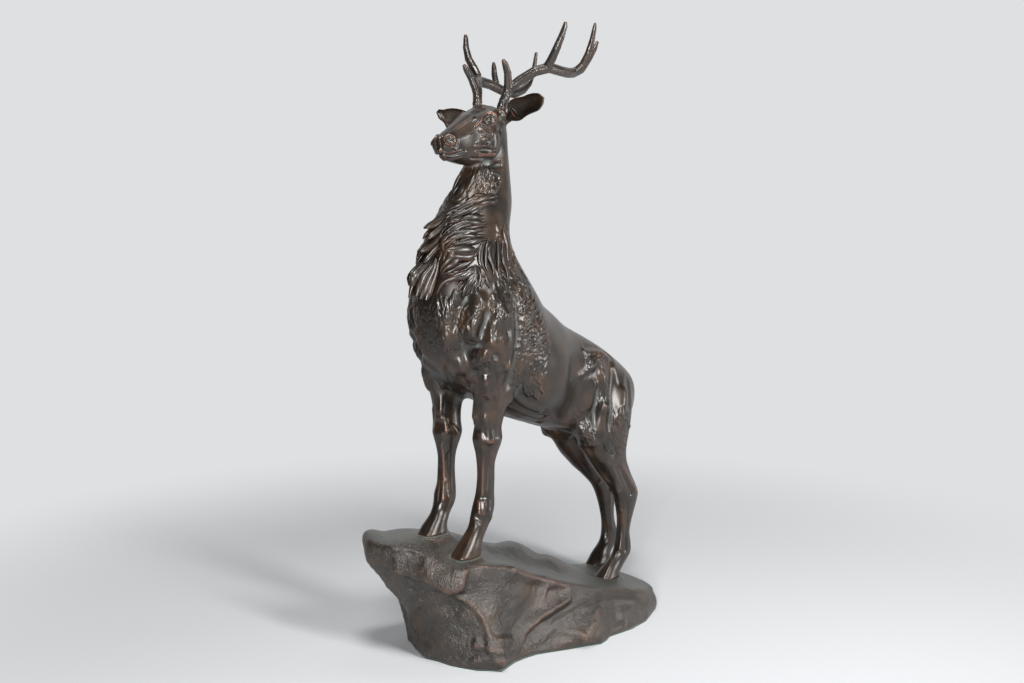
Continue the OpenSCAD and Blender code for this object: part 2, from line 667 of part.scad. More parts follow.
module rock_shell() {
    m = len(rock_rows);
    n = rock_count;
    all_rows = concat(rock_rows, inner_rows);
    tops = [total(rock_rows[m - 1]) / n, total(inner_rows[m - 1]) / n];
    polyhedron(
        concat([for (row = all_rows) each row], tops),
        concat(
            [for (i = [0 : m - 2], j = [0 : n - 1])
                let (k = (j + 1) % n, a = i * n + j, b = i * n + k, c = m * n)
                each [[a, a + n, b + n], [a, b + n, b], [c + a, c + b + n, c + a + n], [c + a, c + b, c + b + n]]],
            [for (j = [0 : n - 1])
                let (k = (j + 1) % n, a = (m - 1) * n, c = m * n)
                each [[2 * c, a + k, a + j], [2 * c + 1, c + a + j, c + a + k],
                      [j, k, c + k], [j, c + k, c + j]]]));
}

// Cover screws stand in a ring inside the foot
screw_columns = [2, 9, 17, 26, 34, 41];
post_height = 12;
// How far the posts and the rebate run into the wall
wall_overlap = 0.5;
screw_sides = 24;
// Gaps on the diameter of the cover screws, in the posts and in the cover, and their room at the end
post_gap = 0.2;
cover_hole_gap = 0.6;
screw_end = 4;
felt_inset = 1.5;
function screw_at(column) =
    let (p = inner_rows[0][column % rock_count], q = [p.x, p.y]) q - unit(q) * (cover_post_d / 2 - wall_overlap);
cover_top = foot_z + cover_thickness;

module rock_base() {
    color(dark_bronze) difference() {
        union() {
            rock_shell();
            for (leg = legs) {
                seat = sole_middle(leg);
                translate([0, 0, seat.z - boss_thickness])
                    linear_extrude(boss_thickness) polygon(grown(sole_outline(leg), boss_margin));
            }
            for (leg = legs)
                translate(stud_axis(leg) - [0, 0, stud_run + boss_thickness])
                    cylinder(d = washer_d + washer_room + 2 * well_wall, h = stud_run + boss_thickness / 2,
                             $fn = round_sides);
            for (c = screw_columns)
                translate([screw_at(c).x, screw_at(c).y, cover_top])
                    cylinder(d = cover_post_d, h = post_height, $fn = round_sides);
        }
        for (leg = legs) {
            seat = sole_middle(leg);
            translate([0, 0, seat.z]) linear_extrude(seat_room) polygon(grown(sole_outline(leg), seat_gap));
            translate(stud_axis(leg) - [0, 0, stud_run + boss_thickness])
                cylinder(d = washer_d + washer_room, h = stud_run, $fn = round_sides);
            translate(stud_axis(leg) - [0, 0, seat_room])
                cylinder(d = stud_d + 2 * stud_gap, h = 2 * seat_room, $fn = round_sides);
        }
        translate([0, 0, foot_z - 1]) linear_extrude(cover_thickness + 1) polygon(cover_plan(0));
        for (c = screw_columns)
            translate([screw_at(c).x, screw_at(c).y, cover_top - 1])
                cylinder(d = cover_screw_d + post_gap, h = post_height - 1, $fn = screw_sides);
    }
}

// The rebate that the cover sits in, or the plate itself when drawn in by its gap
function cover_plan(inset) = [for (p = inner_rows[0]) [p.x, p.y] - unit([p.x, p.y]) * (wall_overlap + inset)];
screw_head_d = 2 * cover_screw_d;

module base_cover() {
    color(steel) difference() {
        translate([0, 0, foot_z]) linear_extrude(cover_thickness) polygon(cover_plan(cover_gap));
        for (c = screw_columns) translate([screw_at(c).x, screw_at(c).y, foot_z]) {
            translate([0, 0, -1])
                cylinder(d = cover_screw_d + cover_hole_gap, h = cover_thickness + 2, $fn = screw_sides);
            cylinder(d1 = screw_head_d + cover_hole_gap, d2 = cover_screw_d + cover_hole_gap,
                     h = cover_screw_d / 2, $fn = screw_sides);
        }
    }
}

module cover_screws() {
    color(steel) for (c = screw_columns) translate([screw_at(c).x, screw_at(c).y, foot_z + 0.1]) {
        cylinder(d1 = screw_head_d, d2 = cover_screw_d, h = cover_screw_d / 2, $fn = screw_sides);
        cylinder(d = cover_screw_d, h = cover_thickness + post_height - screw_end, $fn = screw_sides);
    }
}

module felt_pad() {
    color(felt_green) linear_extrude(felt_thickness)
        polygon([for (p = rock_rows[0]) [p.x, p.y] - unit([p.x, p.y]) * felt_inset]);
}

module neck_pins() {
    color(brass) for (p = neck_pin_set) pin(p);
}

module head_pins() {
    color(brass) for (p = head_pin_set) pin(p);
}

module leg_pins() {
    color(brass) for (leg = legs) pin(leg_pin(leg));
}

module hoof_studs() {
    color(steel) for (leg = legs)
        translate(stud_axis(leg) - [0, 0, stud_run])
            cylinder(d = stud_d, h = stud_run + stud_depth, $fn = round_sides);
}

module hoof_washers() {
    color(steel) for (leg = legs)
        translate(stud_axis(leg) - [0, 0, boss_thickness + washer_thickness]) difference() {
            cylinder(d = washer_d, h = washer_thickness, $fn = round_sides);
            translate([0, 0, -1])
                cylinder(d = stud_d + washer_hole_gap, h = washer_thickness + 2, $fn = round_sides);
        }
}

module hoof_nuts() {
    color(steel) for (leg = legs)
        translate(stud_axis(leg) - [0, 0, boss_thickness + washer_thickness + nut_thickness]) difference() {
            cylinder(d = nut_flats / cos(30), h = nut_thickness, $fn = 6);
            translate([0, 0, -1])
                cylinder(d = stud_d + nut_hole_gap, h = nut_thickness + 2, $fn = round_sides);
        }
}

rock_base();
base_cover();
felt_pad();
cover_screws();
torso();
neck();
head();
antler(sides[0]);  // left_antler
antler(sides[1]);  // right_antler
ear(sides[0]);  // left_ear
ear(sides[1]);  // right_ear
tail();
leg_casting(legs[0]);  // front_left_leg
leg_casting(legs[1]);  // front_right_leg
leg_casting(legs[2]);  // hind_left_leg
leg_casting(legs[3]);  // hind_right_leg
neck_pins();
head_pins();
leg_pins();
hoof_studs();
hoof_washers();
hoof_nuts();
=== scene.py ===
import math
from itertools import product
import bpy
import numpy as np
import openvdb as vdb
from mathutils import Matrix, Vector, noise
from mathutils.bvhtree import BVHTree


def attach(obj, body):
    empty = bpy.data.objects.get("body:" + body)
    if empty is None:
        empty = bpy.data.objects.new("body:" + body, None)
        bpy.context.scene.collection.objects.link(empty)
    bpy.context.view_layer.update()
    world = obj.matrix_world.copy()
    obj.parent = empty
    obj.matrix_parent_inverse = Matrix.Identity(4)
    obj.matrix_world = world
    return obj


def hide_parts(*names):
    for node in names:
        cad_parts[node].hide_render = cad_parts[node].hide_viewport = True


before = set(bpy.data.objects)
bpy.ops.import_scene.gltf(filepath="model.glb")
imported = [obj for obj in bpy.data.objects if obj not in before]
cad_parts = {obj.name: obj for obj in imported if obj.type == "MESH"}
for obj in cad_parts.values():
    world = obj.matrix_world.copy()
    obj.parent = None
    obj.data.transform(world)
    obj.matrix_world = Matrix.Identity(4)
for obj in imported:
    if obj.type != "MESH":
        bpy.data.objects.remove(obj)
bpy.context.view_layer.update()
print("frame loaded")

# Shapes are worked in millimetres and written to meshes in metres.
clay = {
    "skinCell": 1.5,       # cell of the first skin over all the castings
    "jointFill": 2.5,      # joints and bores up to twice this wide close up
    "overlap": 2.6,        # how far each casting runs under its neighbour
    "sink": 0.45,          # and how far it dips there
    "frontLimb": (330, 40),  # the front legs count as limb up to here, less and less over this
    "hindLimb": (215, 30),
    "headLimb": (575, 25),   # and so does the head from here up
    "soften": 0.6,         # share of the way to the mean that a pass goes
    "relax": (0.5, -0.51),  # there and back, which smooths without shrinking
    "roundBody": 90,       # smoothing passes on the body
    "roundLimb": 16,       # smoothing passes on the legs and the head
    "rubMuscles": 14,      # smoothing passes over the muscles
    "rubBody": 7,          # more of them on the body
    "reach": 16.0,         # farthest the skin may stand off a casting
    "rind": 1.6,           # cells below the skin that still count as its outside
}


def addObject(name, data):
    made = bpy.data.objects.new(name, data)
    bpy.context.scene.collection.objects.link(made)
    return made


def markSpots(me, key, values, kind="FLOAT"):
    store = me.attributes.new(key, kind, "POINT").data
    store.foreach_set("value" if kind == "FLOAT" else "vector", np.ravel(values).astype("f4"))


def fade(values, start, over, least=0, most=1):
    # climbs from nothing at start, by one for each stretch of this length
    return np.clip((values - start) / over, least, most)


def fadeDown(values, end, over):
    return fade(-values, -end, over)


def unit(rows, least=1e-9):
    return rows / np.maximum(np.linalg.norm(rows, axis=1, keepdims=True), least)


def treeOf(spots, faces):
    return BVHTree.FromPolygons(spots.tolist(), faces.tolist())


def nodeMesh(name):
    # places and triangles of a casting as it is in the frame
    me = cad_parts[name].data
    me.calc_loop_triangles()
    spots = np.empty(len(me.vertices) * 3, "f4")
    faces = np.empty(len(me.loop_triangles) * 3, "i4")
    me.vertices.foreach_get("co", spots)
    me.loop_triangles.foreach_get("vertices", faces)
    return spots.reshape(-1, 3) * 1000, faces.reshape(-1, 3)


def readField(spots, faces, cell, low, size, band):
    kind = "triangles" if faces.shape[1] == 3 else "quads"
    grid = vdb.FloatGrid.createLevelSetFromPolygons(
        np.ascontiguousarray(spots, "f4"), **{kind: np.ascontiguousarray(faces, "u4")},
        transform=vdb.createLinearTransform(voxelSize=cell), halfWidth=band)
    field = np.empty(size, "f4")
    grid.copyToArray(field, ijk=low)
    return field


def meshField(field, cell, low, level=0.0):
    grid = vdb.FloatGrid(float(field.max()))
    grid.transform = vdb.createLinearTransform(voxelSize=cell)
    grid.copyFromArray(field, ijk=low)
    spots, quads = grid.convertToQuads(level)
    return spots.astype("f8"), quads


def windowOver(low, high, cell, margin):
    first = np.floor((np.array(low) - margin) / cell).astype(int)
    last = np.ceil((np.array(high) + margin) / cell).astype(int)
    return tuple(int(v) for v in first), tuple(int(v) for v in last - first + 1)


def nodeField(names, cell, margin=6, band=5):
    # distance to some castings taken together
    solids = [nodeMesh(name) for name in names]
    low, high = np.min([s.min(0) for s, _ in solids], 0), np.max([s.max(0) for s, _ in solids], 0)
    low, size = windowOver(low, high, cell, margin)
    return np.minimum.reduce([readField(s, f, cell, low, size, band) for s, f in solids]), low


def neighbours(count, quads):
    edges = np.concatenate([quads[:, [i, (i + 1) % 4]] for i in range(4)]).astype("i8")
    edges = edges[np.argsort(edges[:, 0], kind="stable")]
    starts = np.searchsorted(edges[:, 0], np.arange(count))
    degree = np.diff(np.append(starts, len(edges)))
    return edges[:, 1], starts, degree[:, None]


def meanAround(values, near, passes=1):
    to, starts, degree = near
    for k in range(passes):
        total = np.add.reduceat(values[to], starts, axis=0)
        values = total / (degree if values.ndim > 1 else degree[:, 0])
    return values


def soften(spots, near, passes, share):
    for k in range(passes):
        spots = spots + clay["soften"] * share * (meanAround(spots, near) - spots)
    return spots


def relax(spots, near, passes):
    for k in range(passes):
        spots = spots + clay["relax"][k % 2] * (meanAround(spots, near) - spots)
    return spots


def vertexNormals(spots, quads):
    a, b, c, d = (spots[quads[:, i]] for i in range(4))
    face = np.cross(c - a, d - b)
    total = np.zeros_like(spots)
    for i in range(4):
        for k in range(3):
            total[:, k] += np.bincount(quads[:, i], face[:, k], len(spots))
    return unit(total)


camera = {
    "place": (1.0428, -1.2723, 0.600),
    "tilt": 82.2,
    "turn": 40.0,
    "focal": 1300.0,      # in pixels of its view
    "width": 1024,
    "height": 683,
    "sensor": 36,
}
camData = bpy.data.cameras.new("camera")
camData.sensor_width = camera["sensor"]
camData.lens = camera["sensor"] * camera["focal"] / camera["width"]
camObject = addObject("camera", camData)
camObject.location = camera["place"]
camObject.rotation_euler = (math.radians(camera["tilt"]), 0, math.radians(camera["turn"]))
bpy.context.scene.camera = camObject
camTurn = camObject.rotation_euler.to_matrix()
eye = Vector(camera["place"]) * 1000
middleX, middleY = camera["width"] / 2, camera["height"] / 2


def sightLine(x, y):
    # direction from the camera through a place in its view
    ray = camTurn @ Vector(((x - middleX) / camera["focal"], (middleY - y) / camera["focal"], -1))
    return ray.normalized()


def inView(spots):
    # places of some spots in the camera's view, and how far in front of it they are
    seen = (spots - np.array(camera["place"]) * 1000) @ np.array(camTurn)
    x = middleX + camera["focal"] * seen[:, 0] / -seen[:, 2]
    y = middleY - camera["focal"] * seen[:, 1] / -seen[:, 2]
    return x, y, -seen[:, 2]


castings = ["torso", "neck", "head", "tail", "front_left_leg", "front_right_leg", "hind_left_leg",
            "hind_right_leg"]


def wholeSkin():
    # one skin over all the castings, its joints closed, and the share of limb in each spot
    cell, fill = clay["skinCell"], clay["jointFill"]
    field, low = nodeField(castings, cell, 12, 4)
    spots, quads = meshField(field, cell, low, fill)
    spots, quads = meshField(readField(spots, quads, cell, low, field.shape, 5) + fill, cell, low)
    near = neighbours(len(spots), quads)
    height, back = spots[:, 2], spots[:, 1]
    limb = np.where(back < 0, fadeDown(height, *clay["frontLimb"]), fadeDown(height, *clay["hindLimb"]))
    limb = np.clip(limb + fade(height, *clay["headLimb"]), 0, 1)
    spots = relax(spots, near, clay["roundLimb"])
    return soften(spots, near, clay["roundBody"], 1 - limb[:, None]), quads, limb


skinSpots, skinQuads, limbs = wholeSkin()
skinTree = treeOf(skinSpots, skinQuads)
print("skin over the castings:", len(skinSpots))

# A stroke is a line of places in a drawing view, with a width and a height in millimetres, and the share
# of both at its two ends where that isn't the whole. The views: left, top and enlargement of each.
views = {
    "head": (425, 95, 11.615), "mane": (405, 165, 10.114), "shoulder": (400, 290, 9.8),
    "rump": (540, 330, 12.057), "legs": (415, 380, 8.708), "hind": (540, 420, 9.227), "rock": (350, 505, 4.9),
}


def onSkin(view, places, tree=None):
    # places and outward directions on the skin under a stroke
    left, top, larger = views[view]
    found = []
    for x, y in places:
        ray = sightLine(left + x / larger, top + y / larger)
        spot, out, _, _ = (tree or skinTree).ray_cast(eye, ray)
        if spot:
            found.append((spot, out))
    return (np.array([f[0] for f in found]), np.array([f[1] for f in found])) if found else (None, None)


def smoothLine(points, count):
    # Catmull-Rom curve through the points, evenly counted
    points = np.asarray(points, float)
    if len(points) == 1:
        return points
    padded = np.vstack([2 * points[0] - points[1], points, 2 * points[-1] - points[-2]])
    at = np.linspace(0, len(points) - 1 - 1e-9, count)
    k = at.astype(int)
    t = (at - k)[:, None]
    a, b, c, d = padded[k], padded[k + 1], padded[k + 2], padded[k + 3]
    square, cube = 2 * a - 5 * b + 4 * c - d, 3 * b - a - 3 * c + d
    return 0.5 * (2 * b + (c - a) * t + square * t ** 2 + cube * t ** 3)


def nearLine(spots, line, reach):
    # for the spots within reach of a line: which they are, their distance and the place along it
    low, high = line.min(0) - reach, line.max(0) + reach
    who = np.nonzero(((spots > low) & (spots < high)).all(1))[0]
    p = spots[who]
    if len(line) == 1:
        return who, np.linalg.norm(p - line[0], axis=1), np.zeros(len(who))
    best, along = np.full(len(who), 1e9), np.zeros(len(who))
    lengths = np.linalg.norm(np.diff(line, axis=0), axis=1)
    total, gone = lengths.sum(), 0.0
    for a, b, length in zip(line[:-1], line[1:], lengths):
        t = np.clip((p - a) @ (b - a) / max(length * length, 1e-9), 0, 1)
        far = np.linalg.norm(p - (a + t[:, None] * (b - a)), axis=1)
        hit = far < best
        best[hit], along[hit] = far[hit], ((gone + t * length) / total)[hit]
        gone += length
    return who, best, along


def underLine(spots, line, wide, share):
    # the spots under a line, whose half width is a share of the widest along it: who, how far off and along
    who, far, along = nearLine(spots, line, wide)
    reach = wide * share(along)
    inside = far < reach
    return who[inside], far[inside] / reach[inside], along[inside], reach[inside] / wide


def swellOver(spots, line, wide, high, ends=()):
    # a soft swelling along a stroke
    rise = np.zeros(len(spots))
    start, end = ends or (1, 1)
    who, off, _, share = underLine(spots, line, wide, lambda along: start + (end - start) * along)
    rise[who] = high * share * (1 - off ** 2) ** 2
    return rise


def tuftOver(spots, line, wide, high):
    # a tuft of fur swells from its root and breaks off at a pointed tip
    def share(along):
        rate, first = fur["root"]
        return np.sqrt(np.clip(np.minimum(along * rate + first, (1 - along) * fur["tip"]), 0, 1))

    rise = np.zeros(len(spots))
    who, off, along, _ = underLine(spots, line, wide, share)
    slope = fur["rise"] + (1 - fur["rise"]) * along
    rise[who] = np.maximum(0, high * slope * (1 - off ** 2) * np.clip((1 - along) * fur["breakOff"], 0, 1))
    return rise


class Shelf:
    # spots sorted into cubes, to find those near a stroke quickly
    def __init__(self, spots, step=10.0):
        self.spots, self.step = spots, step
        cubes = np.floor(spots / step).astype("i8")
        keys = self.keyOf(*cubes.T)
        self.order = np.argsort(keys, kind="stable")
        found, starts = np.unique(keys[self.order], return_index=True)
        ends = np.append(starts[1:], len(keys))
        self.cubes = {int(k): (a, b) for k, a, b in zip(found, starts, ends)}

    def keyOf(self, x, y, z):
        # one number for a cube, for places up to five metres from the middle
        half, whole = 512, 2048
        return ((x + half) * whole + y + half) * whole + z + half

    def within(self, line, wide):
        a = np.floor((line.min(0) - wide) / self.step).astype(int)
        b = np.floor((line.max(0) + wide) / self.step).astype(int) + 1
        keys = [self.keyOf(*cube) for cube in product(*(range(low, high) for low, high in zip(a, b)))]
        picked = [self.order[slice(*self.cubes[k])] for k in keys if k in self.cubes]
        return np.concatenate(picked) if picked else np.zeros(0, int)

    def lay(self, lines, over=swellOver, join=np.add):
        # rise of the spots under many strokes, which add up or hide each other
        rise = np.zeros(len(self.spots))
        for line, wide, high, *ends in lines:
            near = self.within(line, wide)
            if len(near):
                rise[near] = join(rise[near], over(self.spots[near], line, wide, high, *ends))
        return rise


def mirrored(points):
    return points * np.array([-1, 1, 1])


def grab(spots, pulls):
    # pull the clay across the camera's view: [from, to, radius]
    right, up = np.array(camTurn)[:, 0], np.array(camTurn)[:, 1]
    for (xa, ya), (xb, yb), radius in pulls:
        x, y, far = inView(spots)
        near = np.clip(1 - ((x - xa) ** 2 + (y - ya) ** 2) / radius ** 2, 0, 1) ** 2
        step = (right * (xb - xa) - up * (yb - ya)) / camera["focal"]
        spots = spots + (near * far)[:, None] * step
    return spots


def insidePatch(corners, x, y):
    # whether one place, or each of many, lies inside some corners
    hit = np.zeros(np.shape(x), bool)
    for (xa, ya, *_), (xb, yb, *_) in zip(corners, corners[1:] + corners[:1]):
        if ya != yb:
            hit ^= ((ya > y) != (yb > y)) & (x < (xb - xa) * (y - ya) / (yb - ya) + xa)
    return hit


def strokeLines(strokes, bothSides=True, tree=None, scale=None):
    # strokes of each view as lines on the skin, and their mirror images
    lines = []
    for view, rows in strokes.items():
        wider, higher = (scale or {}).get(view, (1, 1))
        for places, wide, high, *ends in rows:
            line, _ = onSkin(view, places, tree)
            if line is None:
                continue
            line = smoothLine(line, 4 * len(line))
            for one in ([line, mirrored(line)] if bothSides else [line]):
                lines.append((one, wide * wider, high * higher, ends))
    return lines


# How wide and how high the strokes of each view are laid
swell = {"shoulder": (1.2, 0.85), "rump": (1.25, 0.7), "legs": (1.1, 0.85), "hind": (1.1, 0.85)}
muscles = {
    "mane": [
        # the mane's mass on the front of the neck
        [[(480, 520), (440, 740), (400, 950)], 24, 7.0, 0.5, 0.9],
    ],
    "shoulder": [
        # shoulder and upper foreleg
        [[(765, 113), (715, 262), (685, 410)], 17, 9.2, 0.8, 1.0],
        [[(860, 390), (870, 500)], 11.5, 6.8, 0.7, 1.2],
        [[(745, 680), (845, 620)], 13.8, 8.1],
        [[(960, 300), (1010, 480), (1020, 640)], 27.6, 9.5, 1, 0.8],
        [[(1035, 745)], 9.2, 6.8],
        [[(960, 120), (1000, 240)], 16.1, 5.4],
        [[(845, 880), (875, 1010)], 9.2, 4.6, 0.8, 0.9],
        [[(975, 800), (970, 960), (960, 1150)], 5.8, 3, 1, 0.8],
        [[(610, 700), (690, 960), (745, 1240)], 6.9, 3.8, 1, 0.8],
        [[(780, 540), (870, 575), (925, 650)], 6.9, -6.1, 0.7, 0.9],
        [[(650, 110), (600, 280), (590, 470), (650, 640)], 17.2, -8.1, 0.8, 1],
        [[(930, 660), (990, 760)], 5.8, -3.4, 1, 0.7],
        [[(1140, 110), (1160, 300), (1140, 600), (1085, 900)], 13.8, -6.8, 0.7, 1],
        [[(840, 260), (800, 420)], 9.2, -4.7],
        [[(150, 560), (200, 690), (300, 820)], 6.9, 3.2],
        [[(180, 520), (250, 660), (360, 780)], 6.9, -2.7],
        [[(480, 480), (500, 640), (560, 760)], 13.8, 4.1],
        [[(1080, 1060), (1200, 1110), (1360, 1170)], 8, 4.1],
        [[(1060, 1120), (1200, 1180), (1400, 1240)], 5.8, -3.5],
        [[(330, 900), (380, 1060), (400, 1250)], 5.8, 2.7],
    ],
    "rump": [
        # flank, hip and thigh
        [[(60, 330), (150, 700)], 48, 5.4],
        [[(430, 560), (470, 760), (420, 900)], 31.2, -8.8, 0.9, 1],
        [[(530, 250), (690, 275), (805, 335)], 7.2, 4.6, 0.8, 0.9],
        [[(640, 380), (700, 350)], 16.8, 6.1],
        [[(540, 215), (690, 225), (810, 275), (870, 380)], 7.2, -4.3, 0.7, 1],
        [[(630, 455), (530, 530), (430, 590)], 6, 3.5, 1, 0.7],
        [[(810, 400), (690, 470), (560, 560)], 7.2, -4.6, 1, 0.7],
        [[(740, 470), (755, 680), (755, 900)], 13.2, 8.1, 0.7, 1.1],
        [[(650, 640), (620, 800), (580, 930)], 8.4, 5.9, 0.8, 1],
        [[(700, 730), (670, 870), (650, 1040), (645, 1200)], 7.2, -6.8, 0.8, 0.8],
        [[(770, 960), (780, 1120), (760, 1260)], 10.8, 5.4, 1, 0.7],
        [[(1010, 740), (1000, 880), (960, 1060)], 12, 6.2, 0.9, 0.9],
        [[(860, 420), (875, 620), (860, 880), (840, 1120)], 12, -6.8, 0.7, 1],
        [[(1060, 640), (1080, 900)], 9.6, -3.2],
        [[(520, 1190), (570, 1320)], 14.4, 6.1, 0.9, 0.9],
        [[(640, 1370)], 9.6, 5.4],
        [[(590, 960), (560, 1090), (600, 1220)], 6, -2.7],
        [[(640, 1450), (760, 1480), (880, 1500)], 12, -4.1],
        [[(0, 1110), (200, 1190), (350, 1270), (480, 1400)], 7.2, 3.2],
    ],
    "hind": [
        # lower hind leg, left
        [[(330, 180), (420, 380), (560, 560), (640, 640)], 5.8, 2.4, 1, 0.8],
        [[(400, 190), (520, 400), (640, 560)], 6.9, -2.2, 1, 0.8],
        [[(600, 330), (690, 480), (720, 640)], 10.3, 3, 1, 0.8],
        [[(760, 420), (830, 560), (880, 640)], 5.8, 2.4, 0.8, 1],
        [[(700, 420), (780, 560), (840, 680)], 4.6, -2, 0.8, 1],
        [[(760, 840), (765, 1000), (740, 1190)], 4.8, 2.2, 0.7, 1],
        [[(800, 760), (805, 950), (790, 1200)], 3, -1.8, 0.8, 1],
        [[(700, 720), (715, 900), (700, 1150)], 3, -1.4, 0.8, 1],
    ],
    "legs": [
        # front legs
        [[(610, 330), (640, 420), (660, 520)], 6.9, 2.6, 0.8, 1],
        [[(560, 480), (640, 545), (740, 520)], 5, 1.0],
        [[(640, 580), (630, 740), (620, 900), (605, 1020)], 3, -1.6, 0.8, 0.8],
        [[(590, 600), (590, 800), (590, 1000)], 4.1, 1.4, 0.8, 1],
        [[(670, 620), (660, 800), (650, 1000)], 4.1, 1.4, 0.8, 1],
        [[(560, 1060), (560, 1160)], 3.4, 1.4],
        [[(600, 1060), (600, 1170)], 3.4, 1.6],
        [[(540, 1200), (560, 1230)], 4.6, -1.6],
        [[(645, 1150), (660, 1200)], 5.8, 1.8],
        [[(470, 60), (500, 220), (530, 380)], 4.6, 1.8, 1, 0.7],
    ],
}
farMuscles = {
    "legs": [
        [[(260, 340), (275, 440)], 5, 2.4],
        [[(230, 560), (250, 720), (255, 880)], 3.4, 1.5],
        [[(250, 880), (245, 1040)], 3.6, 2.0],
        [[(215, 760), (215, 960), (205, 1060)], 2.6, -1.4],
        [[(290, 640), (290, 800), (300, 1000)], 2.6, -1.4],
        [[(320, 400), (370, 460)], 5, 1.8],
        [[(150, 40), (180, 200), (190, 330)], 4, 1.6],
    ],
    "hind": [
        [[(650, 660), (685, 820), (665, 1000)], 4, 1.8],
    ],
}
headStrokes = {
    "head": [
        [[(745, 285)], 9, -3.0],
        [[(745, 287)], 5.4, 4.6],
        [[(590, 365), (645, 305), (690, 232), (760, 198), (815, 232), (838, 300)], 2.4, 2.4, 0.7, 0.8],
        [[(675, 300), (700, 250), (755, 232), (805, 262)], 1.5, -1.6],
        [[(655, 335), (710, 350), (775, 338), (812, 305)], 1.7, 1.5],
        [[(635, 350), (575, 420), (540, 450)], 2.2, -1.2, 1, 0.5],
        [[(650, 362), (700, 395), (748, 420)], 1.8, 1.5, 1, 0.8],
        [[(690, 420), (760, 450)], 2.4, -1.1],
        [[(620, 425), (680, 440), (665, 480), (700, 505)], 1.7, 1.4, 0.8, 1],
        [[(700, 430), (765, 490), (750, 550), (690, 585)], 1.9, 1.4, 0.8, 1],
        [[(695, 520)], 4.2, 2.0],
        [[(590, 600), (660, 588), (740, 600)], 3.8, 1.4, 0.7, 1],
        [[(640, 530), (590, 560)], 1.6, 1.0, 1, 0.6],
        [[(800, 470), (800, 620)], 13, 2.6],
        [[(600, 640), (700, 642), (800, 640)], 4.4, -1.3, 0.8, 0.8],
        [[(640, 698), (710, 686), (790, 692)], 7, 2.6, 0.8, 1],
        [[(540, 735), (690, 752), (830, 800)], 4.2, -2.2, 0.7, 1],
        [[(700, 800), (790, 825), (865, 805)], 6, -3.2, 0.8, 1],
        [[(150, 672), (220, 697), (300, 704), (380, 688), (458, 655)], 1.9, -2.6, 0.8, 1],
        [[(130, 640), (210, 665), (300, 672), (420, 645)], 3, 1.2, 1, 0.7],
        [[(190, 728), (300, 748), (410, 728)], 3.6, 1.5, 1, 0.7],
        [[(466, 660)], 3.2, 1.2],
        [[(287, 520)], 6.4, -5.5],
        [[(222, 520), (240, 482), (285, 464), (335, 480), (353, 520), (335, 558), (290, 578), (240, 562),
         (222, 520)],
         2.1, 2.0],
        [[(380, 540), (365, 600), (320, 625)], 2.6, -1.4],
        [[(310, 610), (330, 650)], 3, 1.2],
        [[(165, 480), (172, 560), (178, 640)], 2.0, 1.1],
        [[(280, 440), (420, 345), (560, 250)], 4, 1.2, 0.6, 1],
        [[(340, 470), (450, 410), (560, 350)], 11, -1.5, 0.8, 1],
        [[(870, 270), (860, 400)], 8, -1.8],
        [[(925, 245)], 6, 2.4],
        [[(895, 150)], 8, 2.6],
        [[(600, 135)], 8, 2.2],
        [[(560, 200), (640, 165)], 8, -1.0],
    ],
}
# Where handling has rubbed the patina; the height of these is the amount
rubbed = {
    "head": [
        [[(600, 350), (645, 305), (690, 232), (760, 198), (815, 232)], 3, 0.4],
        [[(222, 520), (240, 482), (285, 464), (335, 480), (353, 520), (335, 558), (290, 578),
         (240, 562)], 2.2, 0.2],
        [[(150, 672), (300, 704), (458, 655)], 3, 0.15],
        [[(310, 560), (315, 640)], 4, 0.4],
        [[(640, 690), (790, 690)], 8, 0.14],
    ],
    "shoulder": [
        [[(610, 700), (690, 960), (745, 1240)], 5, 0.25],
        [[(1035, 745)], 9, 0.2],
        [[(700, 590), (850, 570), (925, 650)], 6, 0.25],
    ],
    "rump": [
        [[(530, 250), (690, 275), (805, 335)], 7, 0.25],
        [[(1040, 500), (1085, 700), (1080, 900)], 9, 0.25],
        [[(60, 500), (200, 700), (350, 800)], 40, 0.22],
    ],
    "legs": [
        [[(200, 380), (250, 420), (300, 470)], 10, 0.2],
        [[(230, 560), (250, 720), (255, 880)], 6, 0.2],
        [[(245, 1040)], 9, 0.3],
        [[(560, 480), (640, 545), (740, 520)], 8, 0.18],
        [[(640, 620), (620, 900), (605, 1020)], 8, 0.2],
        [[(560, 1060), (580, 1170)], 8, 0.3],
    ],
    "hind": [
        [[(760, 420), (830, 560), (880, 640)], 8, 0.25],
        [[(880, 660), (850, 900), (800, 1100)], 7, 0.3],
        [[(600, 330), (690, 480), (720, 640)], 10, 0.25],
    ],
}

fur = {
    "seed": 7,
    "lengths": (0.7, 1.25),   # shares of the stated length
    "sizes": (0.8, 1.25),     # shares of the stated width and height
    "turn": 0.22,             # how far a tuft strays from the comb
    "curl": 0.3,
    "blend": 400,             # the larger, the smoother the combs run into each other
    "scale": 0.867,           # pixels of the view for each millimetre
    "jump": 3,                # tufts stretched over a gap by more than this are left out
    "places": 7,              # along a tuft
    "root": (4, 0.25),        # a tuft widens from its root at this rate, from this share
    "tip": 2.2,               # and narrows to its tip at this rate
    "rise": 0.25,             # share of its height that it has at the root
    "breakOff": 9,
}
